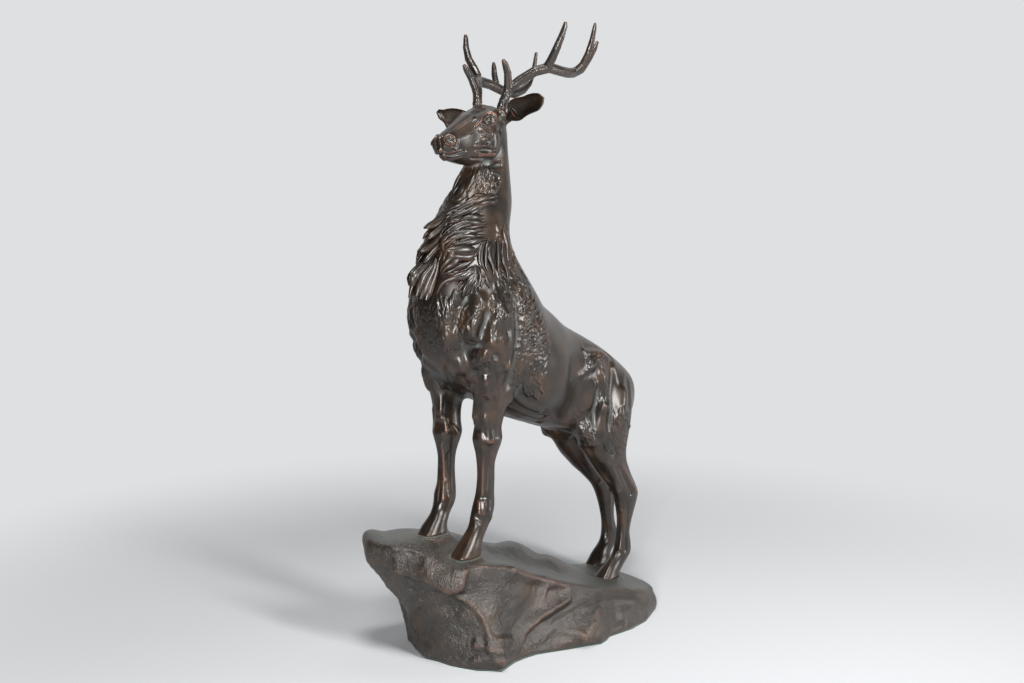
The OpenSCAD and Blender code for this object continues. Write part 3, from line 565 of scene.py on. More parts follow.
# Short fur: [view, corners of the patch, tuft length, width, height, number, comb as [place, direction] ...]
furPatches = [
    ["mane", [(735, 55), (975, 50), (960, 200), (905, 265), (740, 255), (715, 150)],
     9, 2.6, 1.7, 75, [(850, 100), (-0.1, 1)], [(780, 220), (-0.6, 0.8)], [(930, 200), (0.1, 1)]],
    ["mane", [(650, 55), (730, 60), (700, 230), (640, 240)], 10, 2.4, 1.4, 24, [(690, 120), (-0.2, 1)]],
    ["shoulder", [(890, 70), (1090, 80), (1110, 270), (900, 280)],
     8, 2.2, 1.3, 60, [(960, 120), (0.05, 1)], [(1050, 200), (0.25, 1)]],
    ["shoulder", [(1185, 40), (1330, 80), (1440, 420), (1450, 600), (1400, 880), (1390, 1040),
                  (1240, 1020), (1110, 880), (1120, 640), (1190, 480), (1180, 250)],
     10, 2.5, 2.2, 260, [(1250, 120), (-0.3, 1)], [(1290, 300), (-0.5, 0.8)], [(1320, 480), (-0.9, 0.35)],
     [(1250, 620), (-0.9, 0.15)], [(1220, 760), (-0.3, 1)], [(1300, 930), (0.25, 1)]],
    ["shoulder", [(640, 140), (820, 110), (790, 300), (740, 450), (640, 430)],
     7, 1.8, 0.8, 60, [(720, 280), (-0.35, 1)]],
    ["shoulder", [(860, 320), (1060, 300), (1070, 560), (900, 560)], 9, 2, 0.7, 50, [(960, 420), (0.1, 1)]],
    ["shoulder", [(690, 590), (920, 590), (900, 740), (720, 760)], 8, 2, 1.0, 36, [(800, 670), (-0.2, 1)]],
    ["shoulder", [(760, 740), (1000, 760), (980, 1060), (800, 1060)],
     12, 2.2, 1.2, 40, [(870, 900), (0.15, 1)]],
    ["shoulder", [(110, 110), (620, 60), (640, 300), (560, 560), (420, 560), (250, 520), (150, 400),
                  (100, 250)],
     17, 2.3, 1.7, 190, [(200, 200), (0.05, 1)], [(400, 250), (0.25, 1)], [(560, 160), (-0.1, 1)],
     [(380, 500), (0.35, 1)]],
    ["shoulder", [(330, 850), (460, 860), (470, 960), (380, 960)],
     9, 1.8, 1.1, 16, [(400, 900), (0.45, 1)]],
    ["rump", [(540, 270), (780, 290), (700, 410), (590, 440)], 8, 2.4, 1.0, 30, [(650, 350), (-0.35, 1)]],
    ["rump", [(400, 560), (600, 500), (540, 640), (400, 660)], 7, 2.2, 0.9, 22, [(500, 580), (-0.5, 1)]],
    ["rump", [(400, 950), (560, 950), (640, 1100), (650, 1360), (560, 1390), (470, 1260), (420, 1100)],
     9, 2.6, 1.6, 60, [(480, 1040), (0.3, 1)], [(560, 1280), (0.45, 1)]],
    ["rump", [(870, 930), (1050, 940), (1090, 1180), (1050, 1330), (960, 1480), (780, 1440), (850, 1200)],
     11, 3.0, 2.0, 60, [(960, 1080), (-0.1, 1)], [(940, 1340), (0.5, 1)]],
    ["rump", [(690, 500), (830, 520), (820, 900), (700, 880)], 9, 2.2, 0.7, 34, [(760, 700), (0.0, 1)]],
    ["mane", [(930, 620), (1080, 640), (1090, 900), (1240, 1080), (1280, 1260), (960, 1260), (920, 900)],
     12, 3, 1.6, 110, [(990, 760), (-0.05, 1)], [(1050, 960), (0.35, 1)], [(1130, 1150), (0.6, 1)]],
    ["mane", [(900, 1180), (1300, 1230), (1330, 1450), (1180, 1560), (900, 1500)],
     10, 2.4, 0.9, 60, [(1000, 1350), (0.1, 1)]],
]


def combAt(combs, x, y):
    # direction of the fur at a place, from the combs round it
    weights = [1 / ((x - a) ** 2 + (y - b) ** 2 + fur["blend"]) ** 1.5 for (a, b), _ in combs]
    dx, dy = (sum(w * way[i] for w, (_, way) in zip(weights, combs)) for i in (0, 1))
    return math.atan2(dy, dx)


def growFur():
    # tufts as [line, width, height], on both flanks
    chance = np.random.default_rng(fur["seed"])
    tufts = []
    for view, corners, length, wide, high, number, *combs in furPatches:
        xs, ys = [c[0] for c in corners], [c[1] for c in corners]
        made = 0
        while made < number:
            x, y = chance.uniform(min(xs), max(xs)), chance.uniform(min(ys), max(ys))
            if not insidePatch(corners, x, y):
                continue
            made += 1
            way = combAt(combs, x, y) + chance.normal(0, fur["turn"])
            curl = chance.normal(0, fur["curl"])
            reach = length * chance.uniform(*fur["lengths"]) * views[view][2] * fur["scale"]
            places = [(x + math.cos(way + curl * t) * reach * t, y + math.sin(way + curl * t) * reach * t)
                      for t in (-0.5, 0, 0.5)]
            line, _ = onSkin(view, places)
            if line is None or len(line) < 3 or np.linalg.norm(line[2] - line[0]) > fur["jump"] * length:
                continue
            size = chance.uniform(*fur["sizes"])
            line = smoothLine(line, fur["places"])
            tufts += [(line, wide * size, high * size), (mirrored(line), wide * size, high * size)]
    return tufts


def modelBody():
    # the muscles are put on the skin and rubbed soft
    lines = strokeLines(muscles, scale=swell) + strokeLines(farMuscles, False, scale=swell)
    rise = Shelf(skinSpots).lay(lines)
    near = neighbours(len(skinSpots), skinQuads)
    spots = relax(skinSpots + vertexNormals(skinSpots, skinQuads) * rise[:, None], near, clay["rubMuscles"])
    return soften(spots, near, clay["rubBody"], 1 - limbs[:, None])


skinSpots = modelBody()
skinTree = treeOf(skinSpots, skinQuads)
headLines, rubLines, tufts = strokeLines(headStrokes), strokeLines(rubbed), growFur()
castMeshes = {name: nodeMesh(name) for name in castings}
print("muscles modelled, tufts:", len(tufts))


def sampleField(field, low, cell, spots):
    # the field between its cells
    at = np.clip(spots / cell - np.array(low), 0, np.array(field.shape) - 1.001)
    i = at.astype(int)
    f = at - i
    value = 0
    for corner in range(8):
        step = [(corner >> k) & 1 for k in range(3)]
        weight = np.prod([f[:, k] if step[k] else 1 - f[:, k] for k in range(3)], axis=0)
        value = value + weight * field[i[:, 0] + step[0], i[:, 1] + step[1], i[:, 2] + step[2]]
    return value


def carvePiece(name, cell, front, rear):
    # the skin over one casting, run a little way under its neighbours
    def castField(other):
        return readField(*castMeshes[other], cell, low, size, math.ceil(clay["reach"] / cell))

    solid = castMeshes[name][0]
    first, last = solid.min(0), solid.max(0)
    first[1], last[1] = max(first[1], front), min(last[1], rear)
    low, size = windowOver(first, last, cell, clay["reach"])
    reachLow, reachHigh = np.array(low) * cell, (np.array(low) + size) * cell
    beside = [n for n in castings if n != name and
              (castMeshes[n][0].min(0) < reachHigh).all() and (castMeshes[n][0].max(0) > reachLow).all()]
    skin = readField(skinSpots, skinQuads, cell, low, size, 5)
    own = (castField(name) - np.minimum.reduce([castField(n) for n in beside])) / 2
    along = ((np.arange(size[1]) + low[1]) * cell).astype("f4")[None, :, None]
    own = np.maximum(own, np.maximum(front - along, along - rear))
    spots, quads = meshField(np.maximum(skin, own - clay["overlap"]), cell, low)
    out = unit(np.stack([sampleField(s, low, cell, spots) for s in np.gradient(skin, cell)], 1), 1e-6)
    depth = -sampleField(skin, low, cell, spots)
    outside = sampleField(own, low, cell, spots)
    spots = spots - out * (clay["sink"] * fade(outside, 0, clay["overlap"]))[:, None]
    outer = np.clip(clay["rind"] - depth / cell, 0, 1) * fadeDown(outside, clay["overlap"], cell)
    return spots, quads, out, outer


def detail(spots, out, outer):
    # head lines and fur, laid on the outside of a piece
    shelf = Shelf(spots)
    rise = shelf.lay(headLines) + shelf.lay(tufts, tuftOver, np.maximum)
    return spots + out * (rise * outer)[:, None]


# What the patina goes by: heights in millimetres over the surroundings, as (from, over, least, most)
patinaMarks = {
    "radii": (1.0, 3.2, 6.0),          # the mean is taken over these distances, each on top of the last
    "stagEdge": (0.15, 1.2, 0, 0.45),
    "stagHollow": (0.12, 0.8),
    "stagHollowMost": 0.7,
    "stagWide": (0.0, 2.0, 0, 0.25),
    "rubMost": 0.8,
    "rubLevel": 0.4,                   # how rubbed a level place is, and how much more an edge is
    "rubEdge": 1.5,
    "rockEdge": (0.15, 0.9, 0, 0.6),
    "rockHollow": (0.1, 1.2, 0, 0.3),
    "smallEdge": (0.4, 0.9),
    "smallHollow": (0.05, 0.4),
}


def bentMarks(spots, quads, out, outer, cell):
    # millimetres by which each spot stands out of its surroundings, near and wide
    near = neighbours(len(spots), quads)
    weight = outer[:, None] + 1e-6
    values, means = spots * weight, []
    for radius in patinaMarks["radii"]:
        passes = max(1, round(2 * (radius / cell) ** 2))
        values, weight = meanAround(values, near, passes), meanAround(weight, near, passes)
        means.append(values / weight)
    fine, middle, wide = means
    return ((fine - middle) * out).sum(1) * outer, ((middle - wide) * out).sum(1) * outer


def finishPiece(piece, stands):
    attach(piece, "root")
    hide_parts(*stands)
    print(piece.name, len(piece.data.polygons), "faces")


def putTogether(name, spots, faces, material, stands, marks):
    me = bpy.data.meshes.new(name)
    me.from_pydata((spots / 1000).tolist(), [], faces.tolist())
    for key, values in marks.items():
        markSpots(me, key, np.clip(values, 0, 1))
    me.materials.append(material)
    me.shade_smooth()
    finishPiece(addObject(name, me), stands)


def feed(socket, value):
    # a socket takes a link or a plain value
    if hasattr(value, "is_linked"):
        socket.id_data.links.new(value, socket)
    else:
        socket.default_value = value


def nodeIn(tree, kind, inputs=None, **settings):
    node = tree.nodes.new(kind)
    for key, value in settings.items():
        setattr(node, key, value)
    for key, value in (inputs or {}).items():
        feed(node.inputs[key], value)
    return node


def mixColors(tree, factor, a, b):
    # the mix node's colours are its sockets 6 and 7, and its colour comes out of 2
    return nodeIn(tree, "ShaderNodeMix", {0: factor, 6: a, 7: b}, data_type="RGBA").outputs[2]


def sumUp(tree, kind, *values, clamp=False):
    return nodeIn(tree, "ShaderNodeMath", dict(enumerate(values)), operation=kind, use_clamp=clamp).outputs[0]


def rampOf(tree, value, low, high):
    sockets = {"Value": value, "From Min": low, "From Max": high}
    return nodeIn(tree, "ShaderNodeMapRange", sockets, interpolation_type="SMOOTHSTEP").outputs["Result"]


def cloudOf(tree, place, scale, detail, **more):
    # noise on a pattern's own coordinates
    sockets = {"Vector": place, "Scale": scale, "Detail": detail, **more}
    return nodeIn(tree, "ShaderNodeTexNoise", sockets).outputs["Fac"]


def newGroup(name, kind, inputs, outputs):
    # a node group with named sockets: the tree, what enters by name, and the node that it leaves by
    tree = bpy.data.node_groups.new(name, kind)
    for way, sockets in (("INPUT", inputs), ("OUTPUT", outputs)):
        for key, sort in sockets.items():
            tree.interface.new_socket(name=key, in_out=way, socket_type="NodeSocket" + sort)
    return tree, nodeIn(tree, "NodeGroupInput").outputs, nodeIn(tree, "NodeGroupOutput").inputs


def newMaterial(name):
    made = bpy.data.materials.new(name)
    made.use_nodes = True
    return made, made.node_tree, made.node_tree.nodes["Principled BSDF"].inputs


def addBump(tree, height, distance, strength):
    bump = nodeIn(tree, "ShaderNodeBump", {"Strength": strength, "Distance": distance, "Height": height})
    feed(tree.nodes["Principled BSDF"].inputs["Normal"], bump.outputs["Normal"])


patinaMix = {
    "clouds": (0.42, 0.68),                # noise from which the brown starts, and where it is whole
    "speckFiner": 20.0,                    # how much finer the grit is than the clouds
    "green": ("Hollow", 0.8, 0.25, 0.85, "Greened"),    # mark, share of grit, from, whole, most
    "worn": ("Wear", 0.9, 0.28, 0.95, "Rubbed"),
    "metal": 0.9,
    "rough": 0.25,
    "cloudRough": 0.14,
    "greenRough": 0.35,
}


def patinaGroup():
    # brown patina, rubbed to copper on high edges, with pale green left in the hollows
    inputs = {**dict.fromkeys(("Dark", "Brown", "Copper", "Green"), "Color"),
              **dict.fromkeys(("Wear", "Hollow", "Rubbed", "Greened", "Scale", "Grain"), "Float")}
    tree, enter, leave = newGroup("patina", "ShaderNodeTree", inputs,
                                  {"Color": "Color", "Metal": "Float", "Roughness": "Float",
                                   "Height": "Float"})
    place = nodeIn(tree, "ShaderNodeTexCoord").outputs["Object"]
    cloud = cloudOf(tree, place, enter["Scale"], 5, Roughness=0.6)
    speck = cloudOf(tree, place, sumUp(tree, "MULTIPLY", enter["Scale"], patinaMix["speckFiner"]), 3)
    grit = sumUp(tree, "MULTIPLY_ADD", speck, 0.5, -0.25)

    def share(mark, gritShare, low, high, most):
        # where a mark shows, broken up by the grit
        at = sumUp(tree, "ADD", enter[mark], sumUp(tree, "MULTIPLY", grit, gritShare))
        return sumUp(tree, "MULTIPLY", rampOf(tree, at, low, high), enter[most], clamp=True)

    green, worn = share(*patinaMix["green"]), share(*patinaMix["worn"])
    color = mixColors(tree, rampOf(tree, cloud, *patinaMix["clouds"]), enter["Dark"], enter["Brown"])
    color = mixColors(tree, green, color, enter["Green"])
    feed(leave["Color"], mixColors(tree, worn, color, enter["Copper"]))
    feed(leave["Metal"], sumUp(tree, "MULTIPLY", worn, patinaMix["metal"]))
    rough = sumUp(tree, "MULTIPLY_ADD", cloud, patinaMix["cloudRough"], patinaMix["rough"])
    feed(leave["Roughness"], sumUp(tree, "MULTIPLY_ADD", green, patinaMix["greenRough"], rough))
    feed(leave["Height"], sumUp(tree, "MULTIPLY", grit, enter["Grain"]))
    return tree


def millGroup():
    # rolled or drawn metal: fine lines one way under a cloudy stain
    tree, enter, leave = newGroup("millFinish", "ShaderNodeTree",
                                  {"Plain": "Color", "Stain": "Color", "Scale": "Float", "Lines": "Float"},
                                  {"Color": "Color", "Roughness": "Float", "Height": "Float"})
    place = nodeIn(tree, "ShaderNodeTexCoord").outputs["Object"]
    stretch = nodeIn(tree, "ShaderNodeMapping", {"Vector": place, "Scale": (1, 40, 1)})
    stained = rampOf(tree, cloudOf(tree, place, enter["Scale"], 4), 0.45, 0.75)
    lines = cloudOf(tree, stretch.outputs["Vector"], enter["Scale"], 4)
    streak = sumUp(tree, "MULTIPLY", lines, enter["Lines"])
    rough = sumUp(tree, "MULTIPLY_ADD", stained, 0.2, 0.3)
    feed(leave["Color"], mixColors(tree, stained, enter["Plain"], enter["Stain"]))
    feed(leave["Roughness"], sumUp(tree, "MULTIPLY_ADD", streak, 0.2, rough))
    feed(leave["Height"], streak)
    return tree


patina, millFinish = patinaGroup(), millGroup()
# Dark and Brown are clouded together, Copper shows where it is worn, Green in the hollows;
# bump: how deep in metres, and how strongly, the grain is pressed in
bronzes = {
    "stagBronze": {"Dark": (0.0095, 0.0065, 0.0045, 1), "Brown": (0.032, 0.0165, 0.0082, 1),
                   "Copper": (0.27, 0.125, 0.085, 1), "Green": (0.085, 0.105, 0.100, 1),
                   "Rubbed": 0.6, "Greened": 0.5, "Scale": 30.0, "Grain": 0.25,
                   "bump": (0.0006, 0.4), "sheen": 0.6},
    "antlerBronze": {"Dark": (0.0135, 0.0110, 0.0095, 1), "Brown": (0.034, 0.020, 0.013, 1),
                     "Copper": (0.34, 0.16, 0.11, 1), "Green": (0.10, 0.12, 0.115, 1),
                     "Rubbed": 0.8, "Greened": 0.4, "Scale": 50.0, "Grain": 0.15,
                     "bump": (0.0006, 0.4), "sheen": 0.7},
    # the rock's Green shows in its hollows and also on its upward faces, there as dust and as painted sheen
    # of the light from above
    "rockBronze": {"Dark": (0.0120, 0.0090, 0.0060, 1), "Brown": (0.035, 0.0205, 0.0112, 1),
                   "Copper": (0.24, 0.125, 0.09, 1), "Green": (0.14, 0.175, 0.160, 1),
                   "Rubbed": 0.45, "Greened": 0.4, "Scale": 26.0, "Grain": 1.6,
                   "bump": (0.0018, 1.0), "sheen": 0.85},
}
plainMetals = {
    "coverSteel": {"Plain": (0.42, 0.42, 0.41, 1), "Stain": (0.25, 0.24, 0.22, 1),
                   "Scale": 30.0, "Lines": 0.5},
    "fixingSteel": {"Plain": (0.54, 0.54, 0.52, 1), "Stain": (0.33, 0.32, 0.29, 1),
                    "Scale": 110.0, "Lines": 0.2},
    "pinBrass": {"Plain": (0.58, 0.42, 0.19, 1), "Stain": (0.30, 0.19, 0.09, 1),
                 "Scale": 110.0, "Lines": 0.3},
}


def bronze(name):
    look = dict(bronzes[name])
    bump, sheen = look.pop("bump"), look.pop("sheen")
    made, tree, shader = newMaterial(name)
    for key in ("Wear", "Hollow"):
        look[key] = nodeIn(tree, "ShaderNodeAttribute", attribute_name=key.lower()).outputs["Fac"]
    finish = nodeIn(tree, "ShaderNodeGroup", look, node_tree=patina).outputs
    for key, socket in (("Color", "Base Color"), ("Metal", "Metallic"), ("Roughness", "Roughness")):
        feed(shader[socket], finish[key])
    shader["Specular IOR Level"].default_value = sheen
    shader["Specular Tint"].default_value = (1.0, 0.97, 0.94, 1)
    addBump(tree, finish["Height"], *bump)
    return made


def plainMetal(name):
    made, tree, shader = newMaterial(name)
    finish = nodeIn(tree, "ShaderNodeGroup", plainMetals[name], node_tree=millFinish).outputs
    feed(shader["Base Color"], finish["Color"])
    feed(shader["Roughness"], finish["Roughness"])
    shader["Metallic"].default_value = 1
    addBump(tree, finish["Height"], 0.0002, 0.3)
    return made


def woolFelt():
    # matted fibres: short bright hairs over a darker mat
    made, tree, shader = newMaterial("woolFelt")
    place = nodeIn(tree, "ShaderNodeTexCoord").outputs["Object"]
    mat, hairs = cloudOf(tree, place, 160, 4), cloudOf(tree, place, 900, 4, Distortion=1.6)
    color = mixColors(tree, rampOf(tree, mat, 0.3, 0.7), (0.016, 0.034, 0.024, 1), (0.030, 0.058, 0.042, 1))
    color = mixColors(tree, rampOf(tree, hairs, 0.58, 0.72), color, (0.060, 0.100, 0.075, 1))
    feed(shader["Base Color"], color)
    shader["Roughness"].default_value = 0.95
    shader["Sheen Weight"].default_value = 0.3
    addBump(tree, hairs, 0.0006, 0.6)
    return made


stagBronze, antlerBronze, rockBronze = (bronze(name) for name in bronzes)
steel, brass = plainMetal("fixingSteel"), plainMetal("pinBrass")
finishes = {
    "base_cover": plainMetal("coverSteel"), "felt_pad": woolFelt(),
    **dict.fromkeys(("cover_screws", "hoof_studs", "hoof_washers", "hoof_nuts"), steel),
    **dict.fromkeys(("neck_pins", "head_pins", "leg_pins"), brass),
}
for name, finish in finishes.items():
    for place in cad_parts[name].material_slots:
        place.material = finish
print("bronze mixed, fixings finished")


def stagMarks(spots, quads, out, outer, cell):
    # wear on what stands out and is handled, hollow where dirt gathers
    sharp, broad = bentMarks(spots, quads, out, outer, cell)
    look = patinaMarks
    rub = np.clip(Shelf(spots).lay(rubLines), 0, look["rubMost"])
    rub *= np.clip(look["rubLevel"] + sharp * look["rubEdge"], 0.1, 1.0)
    hollow = fade(-sharp, *look["stagHollow"]) * look["stagHollowMost"] + fade(-broad, *look["stagWide"])
    return {"wear": fade(sharp, *look["stagEdge"]) + rub, "hollow": hollow}


# Visible pieces: [name, casting, cell in mm, front end, rear end]
pieceRows = [
    ["bodyFront", "torso", 1.3, -1e4, -40], ["bodyMiddle", "torso", 1.15, -40, 60],
    ["bodyRear", "torso", 1.15, 60, 1e4],
    ["neckBronze", "neck", 1.05], ["headBronze", "head", 0.75], ["tailBronze", "tail", 1.0],
    ["frontLeftLeg", "front_left_leg", 0.9], ["frontRightLeg", "front_right_leg", 0.9],
    ["hindLeftLeg", "hind_left_leg", 0.9], ["hindRightLeg", "hind_right_leg", 0.9],
]
for pieceName, name, cell, *ends in pieceRows:
    spots, quads, out, outer = carvePiece(name, cell, *(ends or (-1e4, 1e4)))
    spots = detail(spots, out, outer)
    marks = stagMarks(spots, quads, out, outer, cell)
    putTogether(pieceName, spots, quads, stagBronze, [name], marks)

mane = {
    "seed": 11,
    "Sides": 24,             # faces round a lock
    "Strands": 6.0,          # ribs along it
    "Strand Depth": 0.13,
    "Flatness": 0.5,
    "places": 12,            # along a lock
    "widths": (0.5, 1.1),    # shares of the stated half width
    "lifts": (0.0, 1.8),     # millimetres that a lock bows out by
    "rubs": (0, 1.6),
    "jump": (4, 3),          # locks with a step longer than this many usual ones, and this, are left out
    "roots": (0, 0.5, 0.85),  # how free the first places of a standing tuft are of the skin
    "tuftAway": (0.55, -0.8, 0.2),
    "tuftRub": 0.3,
    "swell": 3.2,            # how fast a lock widens from its root
    "tip": 1.7,              # and narrows to its tip
    "wave": 0.42,            # sideways, in half widths
    "bed": 0.15,             # half widths that it lies above the skin
    "rounding": 0.8,
}
# Guide lines of the flowing hair, root first; locks are laid along and between them.
maneGuides = [
    [(960, 235), (890, 285), (790, 300), (700, 340), (640, 400), (560, 430)],
    [(945, 320), (860, 333), (760, 342), (680, 380), (600, 430), (500, 480), (410, 530), (345, 620)],
    [(930, 365), (840, 378), (740, 388), (670, 440), (590, 490), (480, 530), (390, 580), (325, 690)],
    [(900, 425), (810, 425), (725, 475), (620, 520), (500, 590), (400, 625), (330, 720)],
    [(850, 480), (760, 500), (640, 525), (540, 590), (430, 650), (335, 780)],
    [(840, 580), (730, 583), (600, 600), (480, 660), (390, 720), (325, 820)],
    [(830, 625), (740, 640), (620, 660), (500, 690), (400, 760), (325, 860)],
    [(830, 700), (740, 710), (620, 720), (520, 750), (440, 820), (360, 890)],
    [(850, 745), (760, 765), (650, 785), (530, 850), (420, 890)],
]
frontGuides = [
    [(640, 190), (590, 270), (520, 330), (440, 390), (370, 470)],
    [(650, 250), (600, 330), (530, 380), (450, 440), (380, 520), (330, 600)],
    [(620, 350), (560, 410), (470, 460), (390, 530), (330, 610), (300, 700)],
    [(560, 470), (480, 510), (400, 560), (335, 640), (305, 740), (290, 850)],
    [(400, 620), (340, 680), (310, 780), (300, 900), (270, 980), (200, 1060)],
    [(330, 700), (290, 800), (270, 900), (230, 1000), (170, 1090)],
]
fanGuides = [
    [(700, 930), (600, 985), (480, 1020), (380, 1050), (320, 1110)],
    [(710, 960), (610, 1030), (480, 1070), (360, 1120), (300, 1200)],
    [(715, 990), (650, 1070), (540, 1130), (420, 1180), (320, 1290)],
    [(720, 1010), (680, 1090), (600, 1160), (520, 1230), (480, 1290)],
    [(725, 1020), (700, 1110), (640, 1190), (570, 1270), (530, 1340)],
    [(730, 1030), (715, 1130), (680, 1210), (620, 1290), (590, 1340)],
    [(735, 1030), (730, 1120), (720, 1200), (700, 1290)],
    [(740, 1020), (760, 1110), (790, 1180), (800, 1270)],
    [(745, 1000), (780, 1080), (840, 1160), (880, 1240)],
]
sideGuides = [
    [(800, 740), (755, 810), (735, 900), (745, 1000), (790, 1080), (860, 1160)],
    [(880, 690), (850, 780), (825, 880), (825, 980), (855, 1080), (900, 1190)],
    [(905, 700), (905, 800), (900, 900), (915, 1020), (945, 1140)],
    [(945, 690), (965, 800), (960, 920), (975, 1040), (990, 1180)],
    [(1000, 600), (1010, 720), (1030, 850), (1060, 980), (1110, 1080)],
]
chestGuides = [
    [(450, 560), (400, 640), (370, 740), (360, 850), (340, 960), (300, 1060)],
    [(520, 700), (450, 780), (420, 870), (400, 960), (380, 1040)],
    [(620, 900), (520, 940), (450, 990), (400, 1060), (360, 1150)],
    [(690, 1020), (600, 1090), (500, 1150), (430, 1230), (400, 1330)],
]
# [guides, locks laid between each two, half width in mm, rubbed]
maneLayers = [
    [maneGuides, 2, 4.0, 0.25], [frontGuides, 3, 4.2, 0.15], [fanGuides, 2, 3.6, 0.2],
    [sideGuides, 1, 4.2, 0.1], [chestGuides, 2, 4.4, 0.1],
]
# Single locks over the others: [places, half width, lift, rubbed]
proudLocks = [
    [[(935, 330), (860, 335), (770, 340), (690, 375), (640, 400)], 4.2, 1.6, 0.1],
    [[(935, 355), (870, 385), (790, 392), (720, 398)], 3.6, 1.4, 0.8],
    [[(590, 505), (540, 538), (480, 565), (400, 590), (340, 640), (310, 700)], 3.2, 1.8, 0.8],
    [[(800, 515), (700, 520), (620, 545), (560, 590)], 4.4, 1.6, 0.1],
    [[(810, 580), (720, 585), (620, 600), (540, 630)], 3.2, 1.8, 0.8],
    [[(770, 640), (700, 660), (600, 665), (500, 695), (420, 750), (380, 810)], 3.4, 1.6, 0.3],
    [[(745, 708), (690, 715), (620, 722), (530, 745), (460, 800), (420, 845)], 3.2, 2.0, 0.9],
    [[(830, 760), (720, 770), (620, 775), (520, 795), (450, 830)], 3.0, 1.4, 0.2],
    [[(730, 830), (660, 920), (560, 945), (450, 938), (310, 915)], 4.0, 3.0, 1.0],
    [[(700, 830), (620, 850), (520, 880), (430, 890), (350, 890)], 6.5, 1.0, 0.1],
    [[(700, 1060), (620, 1110), (520, 1150), (400, 1190), (340, 1260), (320, 1310)], 4.2, 2.6, 0.7],
    [[(710, 1040), (650, 1090), (560, 1130), (450, 1120), (350, 1120)], 4.4, 1.8, 0.1],
    [[(740, 1010), (760, 1060), (800, 1110), (870, 1180)], 2.8, 1.8, 0.5],
    [[(720, 1100), (660, 1190), (600, 1290), (575, 1350)], 4.4, 1.8, 0.1],
    [[(725, 1100), (740, 1180), (780, 1250)], 4.0, 1.8, 0.1],
    [[(735, 1070), (800, 1160), (860, 1240)], 3.4, 1.8, 0.1],
    [[(610, 200), (585, 270), (530, 330), (455, 385)], 2.8, 1.6, 0.2],
    [[(690, 70), (685, 150), (650, 240), (610, 320)], 3.2, 1.2, 0.2],
    [[(930, 250), (860, 285), (770, 290)], 3.4, 1.4, 0.1],
]
# Tufts off the front of the neck: [places in the view, distance off the middle, half width, bluntness]
standingTufts = [
    [[(443, 206), (438, 216), (433, 223), (427.0, 228.0)], 2.0, 4.0, 0.9],
    [[(440, 214), (435, 225), (431.5, 233), (428.5, 239)], 4.0, 4.0, 0.8],
    [[(436, 230), (431, 240), (426, 247), (420.6, 251.8)], 2.0, 4.6, 0.9],
    [[(435, 240), (430, 250), (427, 257), (424, 263)], 5.0, 4.4, 0.8],
    [[(431, 250), (424, 261), (417, 269), (413.2, 276.5), (412.6, 286)], 2.0, 5.6, 1.0],
    [[(432, 256), (426, 267), (420, 278), (416.5, 296)], 5.0, 5.6, 1.0],
    [[(433, 258), (428, 271), (424, 285), (420.5, 299)], 8.5, 5.6, 1.0],
    [[(435, 262), (431, 276), (428, 289), (426, 300)], 12.0, 5.0, 1.0],
]


def layLock(line, out, wide, lift, rub, chance, blunt=0.0):
    # a lock and its mirror image, each as places, outward directions, half widths and rub
    count = mane["places"]
    t = np.linspace(0, 1, count)
    line, out = smoothLine(line, count), unit(smoothLine(out, count))
    tip = (1 - t) * (mane["tip"] + 2 * blunt) + 0.04 + 0.3 * blunt
    body = wide * np.clip(np.minimum(t * mane["swell"] + 0.25, tip), 0, 1) ** mane["rounding"]
    wave = mane["wave"] * wide * (1 - blunt) * np.sin(t * chance.uniform(4, 9) + chance.uniform(0, 6))
    side = np.cross(out, unit(np.gradient(line, axis=0)))
    height = lift * np.sin(t * math.pi * 0.85) + mane["bed"] * wide
    line = line + side * wave[:, None] + out * height[:, None]
    run = unit(np.gradient(line, axis=0))
    out = unit(out - (out * run).sum(1, keepdims=True) * run)
    return [(line, out, body, rub), (mirrored(line), mirrored(out), body, rub)]


def spotAcross(x, y, across):
    # where the sight line through a place in the view meets the plane this far across
    ray = sightLine(x, y)
    return np.array(eye + ray * ((across - eye.x) / ray.x))


def growMane():
    chance = np.random.default_rng(mane["seed"])
    locks = []

    def lay(places, wide, lift, rub):
        line, out = onSkin("mane", places)
        if line is None or len(line) < 4:
            return []
        steps = np.linalg.norm(np.diff(line, axis=0), axis=1)
        times, more = mane["jump"]
        if steps.max() > times * np.median(steps) + more:
            return []
        return layLock(line, out, wide, lift, rub, chance)

    for guides, number, wide, rub in maneLayers:
        for a, b in zip(guides[:-1], guides[1:]):
            a, b = smoothLine(a, mane["places"]), smoothLine(b, mane["places"])
            for k in range(number + 1):
                share = (k + chance.uniform(0.1, 0.9)) / (number + 1)
                first, last = int(chance.integers(0, 4)), int(chance.integers(9, 13))
                path = (a * (1 - share) + b * share)[first:last]
                wider, lift = chance.uniform(*mane["widths"]), chance.uniform(*mane["lifts"])
                locks += lay(path, wide * wider, lift, rub * chance.uniform(*mane["rubs"]))
    for row in proudLocks:
        locks += lay(*row)
    for places, aside, wide, blunt in standingTufts:
        line = np.array([spotAcross(x, y, aside) for x, y in places])
        for k, share in enumerate(mane["roots"]):
            root = np.array(skinTree.find_nearest(Vector(line[k]))[0])
            line[k] = root * (1 - share) + line[k] * share
        away = np.tile(np.array(mane["tuftAway"]), (len(line), 1))
        locks += layLock(line, away, wide, 0, mane["tuftRub"], chance, blunt)
    return locks


